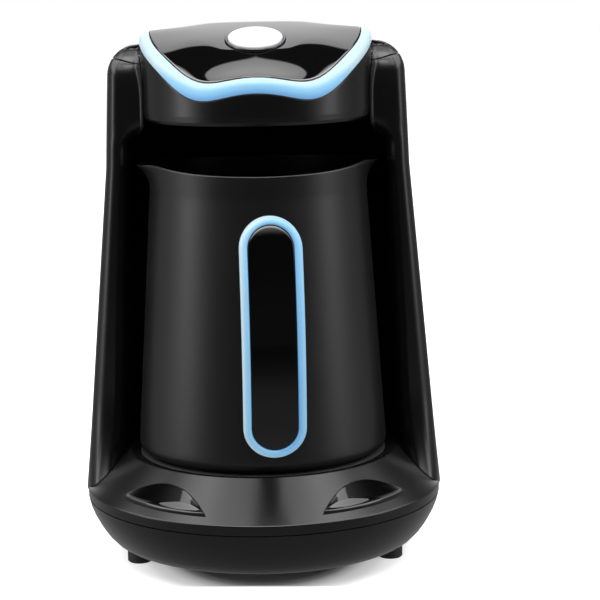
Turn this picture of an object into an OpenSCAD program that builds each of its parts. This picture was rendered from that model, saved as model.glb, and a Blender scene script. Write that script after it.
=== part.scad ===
/* [Base] */
// Radius of the base at its parting line
base_r = 86.6; // [85:0.2:88]
// Height of the parting line between the tray and the cover
parting_z = 30; // [28:0.5:31]
// Height of the rim where the slope begins
rim_z = 35.9; // [34.6:0.1:37]
// Radius of the recess that the pot stands in
recess_r = 65.2; // [64.8:0.1:66]
// Height of the recess's edge
recess_z = 52.5; // [51.5:0.25:53.5]
// Height of the tray's underside above the ground
tray_z = 8.5; // [7.5:0.25:9.5]
// Radius of the tray's flat floor
tray_floor_r = 73.4; // [71:0.2:74.4]
// Fullness of the bowl under the parting line, between 1 for an ellipse and 2 for a straight slope
bowl_power = 1.48; // [1.2:0.02:1.7]
// Depth of the base behind the axis of the pot
rear_depth = 105; // [100:0.5:112]
// Wall thickness of the plastic shells
wall = 2.4; // [2:0.1:2.8]

/* [Body] */
// How far the body's sides stand out past the base's parting line
body_out = 0.5; // [0.3:0.1:1.1]
// How far the body stands in from the base's rim at the back
body_set = 0.5; // [0.3:0.1:1.5]
// Half width of the body where its sides turn upright
waist_w = 73.6; // [72.4:0.2:75.6]
// Height where the sides turn upright
waist_z = 190; // [180:1:200]
// Half width of the body under the shoulders
shoulder_w = 71.8; // [71:0.2:72.6]
// Depth of the body behind the axis, under the shoulders
shoulder_depth = 86.5; // [84:0.5:90]
// Height where the shoulders start to round over
shoulder_z = 234.5; // [233:0.25:236]
// Rounding radius of the shoulders
shoulder_r = 15; // [14:0.25:15.4]
// Height of the seam under the top cover
cap_seam_z = 240.3; // [239:0.1:242]
// Climb of that seam towards the sides
seam_rise = 2.6; // [0:0.2:3.2]
// Distance behind the axis where the wings' rounded noses begin
nose_y = 3; // [2:0.5:4]
// How far the noses reach forward from there
nose_reach = 9; // [7:0.5:10]
// How much further the noses reach at their foot
foot_reach = 14; // [8:0.5:16]
// Height over which that extra reach fades out
foot_fade = 45; // [35:1:60]
// Rounding of the wings' outer front edge beside the head
nose_round = 6; // [5:0.5:7]
// Angle from the side at which the wings meet the head
web_angle = 16; // [13:0.5:18]
// Angle from the side at which the wings end and the rear cover begins
rear_split = 50; // [44:1:56]
// Radius of the bay at the base
bay_low_r = 68; // [67.4:0.2:69]
// Radius of the bay under its neck
bay_neck_r = 62; // [61.4:0.2:63]
// Height where the bay starts to narrow towards the head
bay_neck_z = 201; // [198:0.5:204]

/* [Head] */
// Height of the head's lower edge
head_z = 213.5; // [212:0.5:215]
// Radius of the head
head_r = 55.6; // [55.2:0.1:56]
// Size of the bevel round the head's lower edge
head_bevel = 1.6; // [1:0.2:2]
// Height of the band's lower edge at the front
band_low_z = 230; // [228.6:0.2:231]
// Height of the band's upper edge at the front
band_high_z = 237.3; // [236:0.1:238.4]
// Radius of the band's inner edge
band_inner_r = 50.8; // [50:0.1:51.4]
// How far the band stands proud of the head
band_proud = 0.1; // [0:0.1:0.5]
// Climb of the band's lower edge from the front to the back
band_low_climb = 22.9; // [22:0.1:23.6]
// Climb of the band's upper edge from the front to the back
band_high_climb = 19.4; // [18.6:0.1:20]
// Depth of the two dips in the band's front
dip_depth = 7.6; // [5.4:0.2:8.4]
// Angle of each dip from the front
dip_angle = 31; // [28:0.5:33]
// Spread of each dip in degrees
dip_spread = 20; // [16:0.5:22]
// Share of the dips that the band's upper edge follows
dip_share = 0.8; // [0.6:0.05:1]
// Height of the crest of the top panel
crest_z = 260; // [259:0.25:261.5]
// Distance of the crest behind the axis
crest_y = 18; // [14:0.5:22]
// Thickness of the top panel
panel_t = 2.2; // [1.8:0.1:2.6]

/* [Button] */
// Radius of the button's cap
button_r = 13; // [12.6:0.1:13.4]
// Distance of the button in front of the axis
button_y = 16.5; // [15.6:0.1:17]
// Slope of the panel at the button in degrees
button_tilt = 19.5; // [18.5:0.25:20.5]
// Travel of the button
button_travel = 1.2; // [0.8:0.1:1.4]
// Gap between the cap and its bezel
button_gap = 0.3; // [0.2:0.05:0.4]
// Width of the bezel round the button
bezel_w = 0.8; // [0.7:0.1:1.4]
// Depth of the control board below the panel at the button
board_depth = 14; // [13.5:0.25:15]

/* [Pot] */
// Height of the pot's foot above the ground
pot_z = 52.2; // [52:0.1:52.8]
// Radius of the pot at its widest
pot_low_r = 60.7; // [60:0.1:61.2]
// Rounding of the pot's lower edge
pot_round = 5; // [4.4:0.1:6.6]
// Radius of the pot under the rim
pot_neck_r = 52.5; // [51.9:0.1:53.1]
// Height where the spouts begin to flare
pot_neck_z = 180; // [178:0.5:182]
// Height of the rim between the spouts
rim_top_z = 190.4; // [189:0.2:191]
// How far each spout reaches out from the rim
spout_reach = 6.3; // [5:0.1:7]
// How far the rim sweeps up towards its two sides
rim_sweep = 3.6; // [2:0.2:4]
// Spread of that sweep in degrees
sweep_spread = 45; // [35:1:55]
// How far each spout's lip droops below the sweep
spout_droop = 1.9; // [1:0.1:2.4]
// Spread of each spout in degrees
spout_spread = 13; // [10:0.5:15]
// Wall thickness of the pot's jacket
jacket_t = 2.2; // [2:0.1:2.4]
// Wall thickness of the cup inside
cup_t = 1.2; // [0.8:0.1:1.4]
// Angle by which the pot is turned in its seat
pot_turn = 3.4; // [0:0.2:6]

/* [Handle] */
// Distance of the handle's front face from the axis of the pot
handle_reach = 98; // [96:0.5:100]
// Width of the handle
handle_w = 28.3; // [27:0.1:29.6]
// Height of the handle's lower end
handle_low_z = 68.5; // [67:0.5:71]
// Height of the handle's upper end
handle_top_z = 176; // [174:0.5:178]
// Height where the handle's front is upright
handle_plumb_z = 105; // [100:1:112]
// Radius of the handle's bend towards the pot
handle_bend = 175; // [165:5:200]
// Thickness of the handle's grip
handle_t = 11; // [10:0.5:12]
// Width of the trim ring on the handle
trim_w = 3.7; // [3.3:0.1:4.1]
// Thickness of the trim ring and the inlay
trim_t = 2.6; // [2.2:0.1:3]

/* [Heater] */
// Radius of the heater plate
heater_r = 56; // [55:0.25:57]
// Thickness of the heater plate
heater_t = 3; // [2.6:0.1:3.4]
// Width of the seal round the heater plate
seal_w = 4; // [3.6:0.1:4.4]
// Radius of the ring that the heating element is bent to
element_ring_r = 38; // [35:0.5:40]
// Radius of the heating element's tube
element_r = 4; // [3.5:0.1:4.4]
// Height of the heat shield's underside
shield_z = 34; // [33.4:0.2:34.6]
// Radius of the temperature sensor's flange
sensor_r = 6; // [5.6:0.1:6.4]
// Travel of the temperature sensor
sensor_travel = 1.5; // [1:0.1:1.7]

/* [Fits] */
// Gap between fixed shells
seam = 0.3; // [0.25:0.05:0.4]
// Gap between a fixed piece and its seat
seat_gap = 0.15; // [0.1:0.05:0.2]
// Radial clearance of sliding pieces
slide_gap = 0.08; // [0.05:0.01:0.1]
// Radial clearance of screws in their holes
screw_gap = 0.1; // [0.06:0.02:0.14]

/* [Feet and cord gland] */
// How far the feet's seats stand out under the tray
foot_seat = 0.9; // [0.6:0.1:1.5]
// Radius of the rubber feet
foot_r = 6; // [5.4:0.1:6.6]
// Radius of the small centre foot
centre_foot_r = 4.4; // [3.8:0.1:5]
// Height of the cord gland's axis
gland_z = 19; // [18:0.25:20]
// Radius of the gland's bore, for the mains lead
gland_bore_r = 3.2; // [2.8:0.1:3.4]
// Radius of the gland's neck
gland_r = 5.4; // [5:0.1:5.8]

/* [Hidden] */

$fn = 64;
// Small overlap that makes a cut go right through
cut = 0.5;
// Gap left between pieces that are clamped or glued together
touch = 0.1;
// Steps round the full rings, and round the pot
ring_n = 60;
pot_n = 64;
band_n = 72;

// Colours
shell_grey = [0.24, 0.24, 0.26];
deep_black = [0.04, 0.04, 0.045];
gloss_black = [0.09, 0.09, 0.1];
pale_blue = [0.61, 0.8, 0.92];
cap_white = [0.96, 0.96, 0.97];
bezel_grey = [0.66, 0.66, 0.68];
rubber_black = [0.07, 0.07, 0.07];
steel = [0.72, 0.72, 0.74];
alloy = [0.78, 0.78, 0.79];
board_green = [0.1, 0.35, 0.2];
copper = [0.75, 0.45, 0.25];

// The modules are drawn about the pot's axis, and then shifted so that the box is centred
front_reach = handle_reach * cos(pot_turn) + handle_w / 2 * sin(pot_turn);
shift_y = (front_reach - rear_depth) / 2;

// Heights and radii that follow from the sizes above
foot_h = tray_z - foot_seat;
rear_stretch = rear_depth / base_r;
rim_r = base_r - 1.2;
wing_w = base_r + body_out;
body_depth = rear_depth - body_set;
straight_r = 71;
heater_z = pot_z - seat_gap - heater_t;
seal_r = heater_r + seat_gap;
hole_r = seal_r + seal_w + seat_gap;
recess_floor_z = recess_z - 1.2;
cover_low_z = recess_floor_z - wall;
shield_r = hole_r + 2;
shield_t = 1;
shield_floor_z = shield_z + shield_t;
head_wall_r = head_r - wall;
floor_z = head_z + 1;
floor_t = 2.2;
window_r = 8.8;
liner_top_z = head_z + 9.5;
button_z = panel_z(-button_y);
bezel_r = button_r + button_gap + bezel_w;
cap_skirt_z = -4;
board_t = 1.6;
switch_h = 4;
switch_top_z = seat_gap - board_depth + switch_h;
plunger_r = 3.2;
plunger_top_z = switch_top_z + 2 * button_travel;
switch_floor_t = 0.6;
plunger_in = switch_h - switch_floor_t - button_travel - 0.4;
cup_out = jacket_t + 0.2;
base_disc_r = pot_low_r - pot_round - 1.3;
base_disc_t = 2.2;
board_x = 38;
board_y = 30;
control_x = 27;
control_y = 17;
board_hole_x = 33;
board_hole_y = 25;
board_z = tray_z + wall + 4;
board_top_z = board_z + board_t;
screw_r = 1.5;
small_screw_r = 1.2;
small_screw_l = 6;
small_head_r = 2.4;
small_head_h = 1.5;
base_screw_r = 70;
base_screw_l = 12;
base_head_r = 3.3;
base_head_h = 2.2;
base_post_r = 4;
base_screw_angles = [40, 140, 220, 320];
screw_seat_z = tray_z + 8;
post_low_z = screw_seat_z + 3 + seam;
rear_screw_x = 24;
rear_screw_heights = [82, 198];
bridge_heights = [84, 160];
bridge_h = 13;
bridge_w = 15;
handle_head_r = 3;
handle_head_t = 1.1;
handle_screw_l = 11.5;
foot_lip = 0.3;
foot_spots = [[61, -21], [-61, -21], [52, 62], [-52, 62]];
centre_foot_spot = [-2, -44];
web_low_z = 230;
web_fade = 20;
loom_r = 2.4;
loom_hole_z = 238;
loom_x = 2;
loom_drop_y = 83;

function mix(a, b, t) = a + (b - a) * t;
function clamp01(t) = max(0, min(1, t));
function ease(t) = let (u = clamp01(t)) u * u * (3 - 2 * u);
function soft_min(a, b, k) = -k * ln(exp(-a / k) + exp(-b / k));

// A point on a ring of radius r at angle t from +X; behind the axis it is stretched by s
function plan_point(r, t, s) = [r * cos(t), r * sin(t) * (sin(t) > 0 ? s : 1)];
// The cover is round near the recess and takes the base's stretch towards its rim
function cover_stretch(r) = mix(1, rear_stretch, clamp01((r - straight_r) / (base_r - straight_r)));
// Height of the slope at a distance r from the axis
function slope_z(r) = mix(recess_z, rim_z, (r - recess_r) / (rim_r - recess_r));

// Height of the top panel along its middle: a steepening fall in front of the crest
function panel_z(y) = y < crest_y ? crest_z - 0.0403 * pow(crest_y - y, 1.5)
    : crest_z - 0.0048 * pow(y - crest_y, 2);
function band_climb(t) = soft_min(1 - cos(t), 1, 0.05);
function band_dip(t) = dip_depth * (exp(-pow((abs(t) - dip_angle) / dip_spread, 2))
    + exp(-pow((abs(t) + dip_angle) / dip_spread, 2)));
function band_low(t) = band_low_z + band_low_climb * band_climb(t) - band_dip(t);
function band_high(t) = band_high_z + band_high_climb * band_climb(t) - dip_share * band_dip(t);
// The panel keeps its middle form and bends to the band's upper edge near its rim
function panel_edge_z(t) = band_high(t) - seat_gap;
function panel_point_z(r, t) = panel_z(-r * cos(t))
    + (panel_edge_z(t) - panel_z(-band_inner_r * cos(t))) * pow(r / band_inner_r, 4);

// Half width, depth and bay radius of the body at a height
function shoulder_drop(z) = z <= shoulder_z ? 0
    : shoulder_r - sqrt(max(0, pow(shoulder_r, 2) - pow(z - shoulder_z, 2)));
function side_w(z) = (z < waist_z ? mix(wing_w, waist_w, (z - rim_z) / (waist_z - rim_z))
    : mix(waist_w, shoulder_w, clamp01((z - waist_z) / (shoulder_z - waist_z)))) - shoulder_drop(z);
function rear_d(z) = mix(body_depth, shoulder_depth, clamp01((z - rim_z) / (shoulder_z - rim_z)))
    - shoulder_drop(z);
function neck(z) = ease((z - bay_neck_z) / (head_z - bay_neck_z));
function bay_r(z) = z < bay_neck_z
    ? mix(bay_low_r, bay_neck_r, (z - recess_z) / (bay_neck_z - recess_z))
    : mix(bay_neck_r, head_r + seam, neck(z));
function web_at(z) = web_angle * (1 - ease((z - web_low_z) / web_fade));

// Plan of the right wing's nose, phi from 180 at its inner end to 0 at its outer side
// At their foot the noses reach further forward, fill their outer corner and follow the rim
function foot_in(z) = pow(1 - clamp01((z - rim_z) / foot_fade), 2);
function nose_round_pt(phi, w, b, rin, f) = let (
        fill = phi < 90 ? mix(1, 0.62, f) : 1,
        y = nose_y - b * pow(sin(phi), fill),
        trim = f * pow(min(y, 0), 2) / (4 * w) * (1 + cos(phi))
    ) [(w + rin) / 2 + (w - rin) / 2 * sign(cos(phi)) * pow(abs(cos(phi)), fill) - trim, y];
function nose_web_pt(phi, w, b, z, inset) = let (
        round_r = nose_round - inset,
        end_r = head_r + seam,
        end_y = inset - end_r * sin(web_at(z)),
        end_x = sqrt(pow(end_r, 2) - pow(end_y, 2)),
        s = (phi - 90) / 90
    ) phi <= 90 ? [w - round_r + round_r * cos(phi), nose_y - b * sin(phi)]
        : [mix(w - round_r, end_x, s), mix(nose_y - b, end_y, pow(s, 4))];
function nose_pt(phi, z, inset) = let (
        w = side_w(z) - inset,
        f = foot_in(z),
        b = max(1, nose_reach + foot_reach * f - 0.9 * shoulder_drop(z) - inset)
    ) mix(nose_round_pt(phi, w, b, bay_r(z) + inset, f), nose_web_pt(phi, w, b, z, inset), neck(z));
function side_pt(psi, z, inset) = [
        (side_w(z) - inset) * cos(psi),
        nose_y + (rear_d(z) - inset - nose_y) * sin(psi)
    ];
// A path parameter below 0 is on the nose, and above 0 it is an angle round the back
function wing_pt(p, z, inset) = p < 0 ? nose_pt(-p, z, inset) : side_pt(p, z, inset);

nose_steps = [for (p = [-180:15:-15]) p];
wing_steps = concat(nose_steps, [for (k = [0:6]) k * (rear_split - 0.1) / 6]);
rear_steps = [for (k = [0:12]) mix(rear_split + 0.1, 180 - rear_split - 0.1, k / 12)];
shell_levels = 15;

// The shell stands on the slope: the height there is found in a few rounds
function slope_under(q) = slope_z(norm([q[0], q[1] > 0 ? q[1] / rear_stretch : q[1]]));
function foot_round(p, z, inset, rounds) = rounds == 0 ? z
    : foot_round(p, slope_under(wing_pt(p, z, inset)), inset, rounds - 1);
function foot_z(p, inset) = foot_round(p, rim_z, inset, 4) + seam;
function seam_up(p) = seam_rise * ease(p < 0 ? (p + 180) / 150 : 1 - min(p, 180 - p) / 90);
function shell_level(p, j, inset) = let (u = j / shell_levels)
    mix(foot_z(p, inset), cap_seam_z + seam_up(p), u - 0.1 * sin(360 * u));
function shell_pt(p, j, inset) = let (
        z = shell_level(p, j, inset),
        q = wing_pt(p, z, inset)
    ) [q[0], q[1], z];
function shell_section(steps, j) = concat(
    [for (p = steps) shell_pt(p, j, 0)],
    [for (k = [len(steps) - 1:-1:0]) shell_pt(steps[k], j, wall)]
);

// Angles round a ring in steps, clockwise as seen from above
function ring_angles(n) = [for (i = [0:n - 1]) 180 - 360 * i / n];

// A closed skin over equal loops, each anticlockwise about the way the skin runs; the ends are
// closed across each loop's two halves
module loft(sections, joined = false) {
    k = len(sections[0]);
    m = len(sections);
    last = joined ? m - 1 : m - 2;
    sides = [for (j = [0:last], i = [0:k - 1])
        let (a = j * k + i, b = j * k + (i + 1) % k)
        let (c = ((j + 1) % m) * k + (i + 1) % k, d = ((j + 1) % m) * k + i)
        each [[a, c, b], [a, d, c]]];
    first_cap = [for (i = [0:k / 2 - 2]) each [[i, i + 1, k - 2 - i], [i, k - 2 - i, k - 1 - i]]];
    end = (m - 1) * k;
    last_cap = [for (i = [0:k / 2 - 2])
        each [[end + i, end + k - 2 - i, end + i + 1], [end + i, end + k - 1 - i, end + k - 2 - i]]];
    polyhedron(
        points = [for (s = sections) each s],
        faces = joined ? sides : concat(sides, first_cap, last_cap)
    );
}

// A tube swept along points, with its sides kept square to the path
function unit(v) = v / norm(v);
function tube_ring(points, i, r, sides, side_axis) = let (
        ahead = points[min(i + 1, len(points) - 1)] - points[max(i - 1, 0)],
        u = unit(cross(ahead, side_axis)),
        v = unit(cross(ahead, u))
    ) [for (k = [0:sides - 1]) points[i] + r * (cos(360 * k / sides) * u + sin(360 * k / sides) * v)];
module tube(points, r, sides, side_axis) {
    loft([for (i = [0:len(points) - 1]) tube_ring(points, i, r, sides, side_axis)]);
}

// A smooth curve through hand-picked points, as four steps between each pair
function spline_pt(p, i, t) = let (
        a = p[max(i - 1, 0)],
        b = p[i],
        c = p[i + 1],
        d = p[min(i + 2, len(p) - 1)]
    ) 0.5 * (2 * b + (c - a) * t + (2 * a - 5 * b + 4 * c - d) * t * t
        + (3 * b - a - 3 * c + d) * t * t * t);
function spline(p, steps) = concat(
    [for (i = [0:len(p) - 2], k = [0:steps - 1]) spline_pt(p, i, k / steps)],
    [p[len(p) - 1]]
);

// A coil spring standing on z = 0, with its wire's ends lying half a wire up
module coil(coil_r, wire_r, height, turns) {
    steps = turns * 12;
    rise = (height - 2 * wire_r) / steps;
    function coil_pt(i) = [coil_r * cos(30 * i), coil_r * sin(30 * i), wire_r + rise * i];
    loft([for (i = [0:steps]) let (t = 30 * i, out = [cos(t), sin(t), 0])
        [for (k = [0:5]) coil_pt(i) + wire_r * (cos(60 * k) * out - sin(60 * k) * [0, 0, 1])]]);
}

module placed() {
    translate([0, shift_y, 0]) children();
}
module at_button() {
    translate([0, -button_y, button_z]) rotate([button_tilt, 0, 0]) children();
}
module in_pot() {
    rotate([0, 0, pot_turn]) children();
}
module mirrored_pair() {
    children();
    mirror([1, 0, 0]) children();
}

// Base tray: a bowl with a flat floor, foot bosses, screw wells and board standoffs
function bowl_r(u, inset) = tray_floor_r + (base_r - inset - tray_floor_r) * pow(sin(u), bowl_power);
function bowl_z(u, inset) = parting_z - (parting_z - tray_z - inset) * pow(cos(u), bowl_power);
tray_outer = concat([[8, tray_z]], [for (u = [0:15:90]) [bowl_r(u, 0), bowl_z(u, 0)]]);
tray_inner = concat([for (u = [90:-18:0]) [bowl_r(u, wall), bowl_z(u, wall)]], [[8, tray_z + wall]]);
function tray_stretch(r) = mix(1, rear_stretch, clamp01(r / tray_floor_r));
module base_tray() {
    color(shell_grey) placed() difference() {
        union() {
            loft([for (t = ring_angles(ring_n))
                [for (q = concat(tray_outer, tray_inner)) let (xy = plan_point(q[0], t, tray_stretch(q[0])))
                    [xy[0], xy[1], q[1]]]], joined = true);
            translate([0, 0, tray_z]) cylinder(r = 10, h = wall);
            for (s = foot_spots) translate([s[0], s[1], foot_h])
                cylinder(r = foot_r + foot_lip, h = foot_seat + wall + 3);
            translate([centre_foot_spot[0], centre_foot_spot[1], foot_h])
                cylinder(r = centre_foot_r + foot_lip, h = foot_seat + wall / 2);
            for (a = base_screw_angles) rotate(a) translate([base_screw_r, 0, tray_z + wall])
                cylinder(r = 5.4, h = screw_seat_z + 3 - tray_z - wall);
            for (x = [-1, 1], y = [-1, 1]) translate([x * board_hole_x, y * board_hole_y, tray_z + 1])
                cylinder(r = 3.4, h = board_z - seat_gap - tray_z - 1);
            translate([0, gland_wall_y - gland_boss_l, gland_z]) rotate([-90, 0, 0])
                cylinder(r = gland_r + 3, h = gland_boss_l);
        }
        for (a = base_screw_angles) rotate(a) translate([base_screw_r, 0, 0]) {
            cylinder(r = base_head_r + 0.4, h = screw_seat_z);
            cylinder(r = screw_r + screw_gap, h = screw_seat_z + 4);
        }
        for (x = [-1, 1], y = [-1, 1]) translate([x * board_hole_x, y * board_hole_y, tray_z + 1])
            cylinder(r = small_screw_r + screw_gap, h = board_z);
        for (k = [-3:3]) translate([k * 7 - 1.4, -18, tray_z - cut]) cube([2.8, 36, wall + 2 * cut]);
        translate([0, gland_wall_y - gland_boss_l - cut, gland_z]) rotate([-90, 0, 0])
            cylinder(r = gland_r + seat_gap, h = gland_boss_l + 10);
        translate([0, gland_wall_y, gland_z]) rotate([-90, 0, 0])
            cylinder(r = gland_flange_r + seam, h = gland_boss_l);
    }
}
gland_wall_y = rear_depth - 2.6;
gland_boss_l = 16;
gland_flange_t = 2;
gland_flange_r = gland_r + 2;
gland_l = rear_depth - gland_wall_y + gland_boss_l + seat_gap + gland_flange_t;

// Base cover: the band above the parting line, the slope, and the recess round the seat
mid_r = mix(rim_r, recess_r, 0.5);
mid_z = mix(rim_z, recess_z, 0.5);
cover_profile = [
    [base_r, parting_z + seam], [base_r, rim_z - 1.6], [base_r - 0.3, rim_z - 0.6], [rim_r, rim_z],
    [mid_r, mid_z], [straight_r, slope_z(straight_r)], [recess_r + 0.4, recess_z - 0.1],
    [recess_r - 0.3, recess_z], [recess_r - 0.7, recess_floor_z], [hole_r, recess_floor_z],
    [hole_r, cover_low_z], [recess_r - 1, cover_low_z],
    [mid_r - wall / 2, mid_z - wall],
    [base_r - wall, rim_z - 2.2], [base_r - wall, parting_z + seam]
];
// What the cover's posts may fill: from their foot up into the middle of the slope's wall
post_profile = [
    [rim_r - wall / 2, post_low_z], [rim_r - wall / 2, rim_z - wall / 2], [mid_r, mid_z - wall / 2],
    [straight_r, slope_z(straight_r) - wall / 2], [recess_r, recess_z - wall / 2], [recess_r, post_low_z]
];
module cover_ring(profile) {
    loft([for (t = ring_angles(ring_n))
        [for (q = profile) let (xy = plan_point(q[0], t, cover_stretch(q[0])))
            [xy[0], xy[1], q[1]]]], joined = true);
}
module at_base_screws(z) {
    for (a = base_screw_angles) rotate(a) translate([base_screw_r, 0, z]) children();
}
module base_cover() {
    color(shell_grey) placed() difference() {
        union() {
            cover_ring(cover_profile);
            intersection() {
                at_base_screws(post_low_z) cylinder(r = base_post_r, h = recess_z - post_low_z);
                cover_ring(post_profile);
            }
        }
        at_base_screws(post_low_z - cut) cylinder(r = screw_r + screw_gap, h = base_screw_l + 2);
        translate([loom_x, loom_drop_y, parting_z]) cylinder(r = loom_r + 2, h = recess_z - parting_z);
    }
}

// Leaf pads: wedge-shaped gloss pads on the slope, thick at the front edge
leaf_in_angle = 19;
leaf_out_angle = 55;
leaf_front_r = rim_r - 2.2;
leaf_depth = 11.3;
leaf_rise = 2.1;
leaf_seat = seat_gap + 0.3;
leaf_back_r = leaf_front_r - leaf_depth - 1;
function leaf_spot(s, depth) = (leaf_front_r - 1.1 * s * s - depth * pow(4 * s * (1 - s), 0.85))
    * (let (a = mix(leaf_in_angle, leaf_out_angle, s)) [sin(a), -cos(a)]);
module leaf_pad() {
    intersection() {
        linear_extrude(height = recess_z + 10) polygon(concat(
            [for (k = [0:12]) leaf_spot(k / 12, 0)],
            [for (k = [11:-1:1]) leaf_spot(k / 12, leaf_depth)]));
        rotate_extrude($fn = 180) polygon([
            [leaf_front_r + 1, slope_z(leaf_front_r + 1) + leaf_seat],
            [leaf_front_r + 1, slope_z(leaf_front_r + 1) + leaf_rise],
            [leaf_front_r - 6, slope_z(leaf_front_r - 6) + leaf_rise + 0.3],
            [leaf_back_r, slope_z(leaf_back_r) + 0.9],
            [leaf_back_r, slope_z(leaf_back_r) + leaf_seat]
        ]);
    }
}
module leaf_pad_right() {
    color(gloss_black) placed() leaf_pad();
}
module leaf_pad_left() {
    color(gloss_black) placed() mirror([1, 0, 0]) leaf_pad();
}

// Feet, glued under their bosses
module foot(r) {
    rotate_extrude() polygon([[0, 0], [r - 0.6, 0], [r, 0.6], [r, foot_h - touch], [0, foot_h - touch]]);
}
module rubber_feet() {
    color(rubber_black) placed() for (s = foot_spots) translate([s[0], s[1], 0]) foot(foot_r);
}
module centre_foot() {
    color(rubber_black) placed() translate([centre_foot_spot[0], centre_foot_spot[1], 0]) foot(centre_foot_r);
}

// Screws
module pan_screw(head_r, head_h, shank, length) {
    cylinder(r = shank, h = length);
    translate([0, 0, -head_h]) cylinder(r = head_r, h = head_h);
}
module base_screws() {
    color(steel) placed() for (a = base_screw_angles)
        rotate(a) translate([base_screw_r, 0, screw_seat_z - 0.05])
            pan_screw(base_head_r, base_head_h, screw_r, base_screw_l);
}
module power_board_screws() {
    color(steel) placed() for (x = [-1, 1], y = [-1, 1])
        translate([x * board_hole_x, y * board_hole_y, board_top_z + 0.05]) mirror([0, 0, 1])
            pan_screw(small_head_r, small_head_h, small_screw_r, small_screw_l);
}

// Cord gland: a rubber bush in the tray's rear wall, flanged on both sides
module cord_gland() {
    color(rubber_black) placed() translate([0, rear_depth, gland_z]) rotate([90, 0, 0]) difference() {
        union() {
            translate([0, 0, rear_depth - gland_wall_y - gland_flange_t - seat_gap])
                cylinder(r = gland_flange_r, h = gland_flange_t);
            cylinder(r = gland_r, h = gland_l);
            translate([0, 0, gland_l - gland_flange_t])
                cylinder(r = gland_flange_r - 0.6, h = gland_flange_t);
        }
        translate([0, 0, -cut]) cylinder(r = gland_bore_r, h = gland_l + 2 * cut);
    }
}

// Heated seat
module seat_seal() {
    color(rubber_black) placed() difference() {
        translate([0, 0, cover_low_z + 0.2]) cylinder(r = seal_r + seal_w, h = heater_z + 2 - cover_low_z);
        cylinder(r = seal_r, h = recess_z + wall);
    }
}
module heater_plate() {
    color(alloy) placed() translate([0, 0, heater_z]) difference() {
        cylinder(r = heater_r, h = heater_t);
        translate([0, 0, -cut]) cylinder(r = sensor_neck_r + 1, h = heater_t + 2 * cut);
    }
}
element_z = heater_z - touch - element_r;
element_gap = 26;
module at_terminals() {
    for (s = [-1, 1]) rotate(90 + s * (element_gap / 2 + 4)) translate([element_ring_r, 0, 0]) children();
}
module heating_element() {
    color(steel) placed() {
        translate([0, 0, element_z]) rotate(element_gap / 2 + 90) rotate_extrude(angle = 360 - element_gap)
            translate([element_ring_r, 0]) circle(r = element_r, $fn = 32);
        at_terminals() translate([0, 0, shield_floor_z + 2])
            cylinder(r = 1.6, h = element_z - shield_floor_z - 2);
    }
}
stud_ring_r = 49;
stud_r = 2.4;
module heater_studs() {
    color(steel) placed() for (a = [30:120:270]) rotate(a)
        translate([stud_ring_r, 0, shield_floor_z + touch])
            cylinder(r = stud_r, h = heater_z - shield_floor_z - 2 * touch);
}
module heat_shield() {
    color(steel) placed() difference() {
        translate([0, 0, shield_z]) cylinder(r = shield_r, h = cover_low_z - seat_gap - shield_z);
        translate([0, 0, shield_floor_z]) cylinder(r = shield_r - shield_t, h = cover_low_z - shield_z);
        at_terminals() translate([0, 0, shield_z - cut]) cylinder(r = 3, h = shield_t + 2 * cut);
    }
}
sensor_neck_r = sensor_r - 1;
holder_r = sensor_r + 3;
holder_z = shield_floor_z + touch;
holder_h = heater_z - holder_z - sensor_travel - 0.9;
lip_z = holder_z + holder_h - 1.6;
flange_z = lip_z - 0.2 - 2;
module sensor_holder() {
    color(deep_black) placed() difference() {
        translate([0, 0, holder_z]) cylinder(r = holder_r, h = holder_h);
        translate([0, 0, holder_z + 1.2]) cylinder(r = sensor_r + slide_gap, h = lip_z - holder_z - 1.2);
        translate([0, 0, holder_z + 1.3]) cylinder(r = sensor_neck_r + slide_gap, h = holder_h);
    }
}
module temperature_sensor() {
    color(alloy) placed() {
        translate([0, 0, flange_z]) cylinder(r = sensor_r, h = 2);
        translate([0, 0, flange_z + 1]) cylinder(r = sensor_neck_r, h = pot_z - 0.2 - flange_z - 1);
    }
}
module sensor_spring() {
    color(steel) placed() translate([0, 0, holder_z + 1.3])
        coil(sensor_r - 1.6, 0.45, flange_z - holder_z - 1.4, 3);
}
module thermal_fuse() {
    color(cap_white) placed() translate([-8, 16, heater_z - touch - 5]) cube([16, 8, 5]);
}

// Power electronics on one board in the tray
module power_board() {
    color(board_green) placed() translate([0, 0, board_z]) difference() {
        translate([-board_x, -board_y, 0]) cube([2 * board_x, 2 * board_y, board_t]);
        for (x = [-1, 1], y = [-1, 1]) translate([x * board_hole_x, y * board_hole_y, -cut])
            cylinder(r = small_screw_r + screw_gap, h = board_t + 2 * cut);
    }
}
module on_power_board(x, y) {
    placed() translate([x, y, board_top_z + touch]) children();
}
module power_supply() {
    color(gloss_black) on_power_board(-26, -16) cube([30, 24, 16]);
}
module relay() {
    color(pale_blue) on_power_board(10, -16) cube([16, 19, 15]);
}
module mains_terminal() {
    color(board_green) on_power_board(-24, 16) cube([20, 10, 11]);
}
module capacitors() {
    color(deep_black) for (x = [4, 16]) on_power_board(x, 17) cylinder(r = 4.5, h = 14);
}

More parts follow.
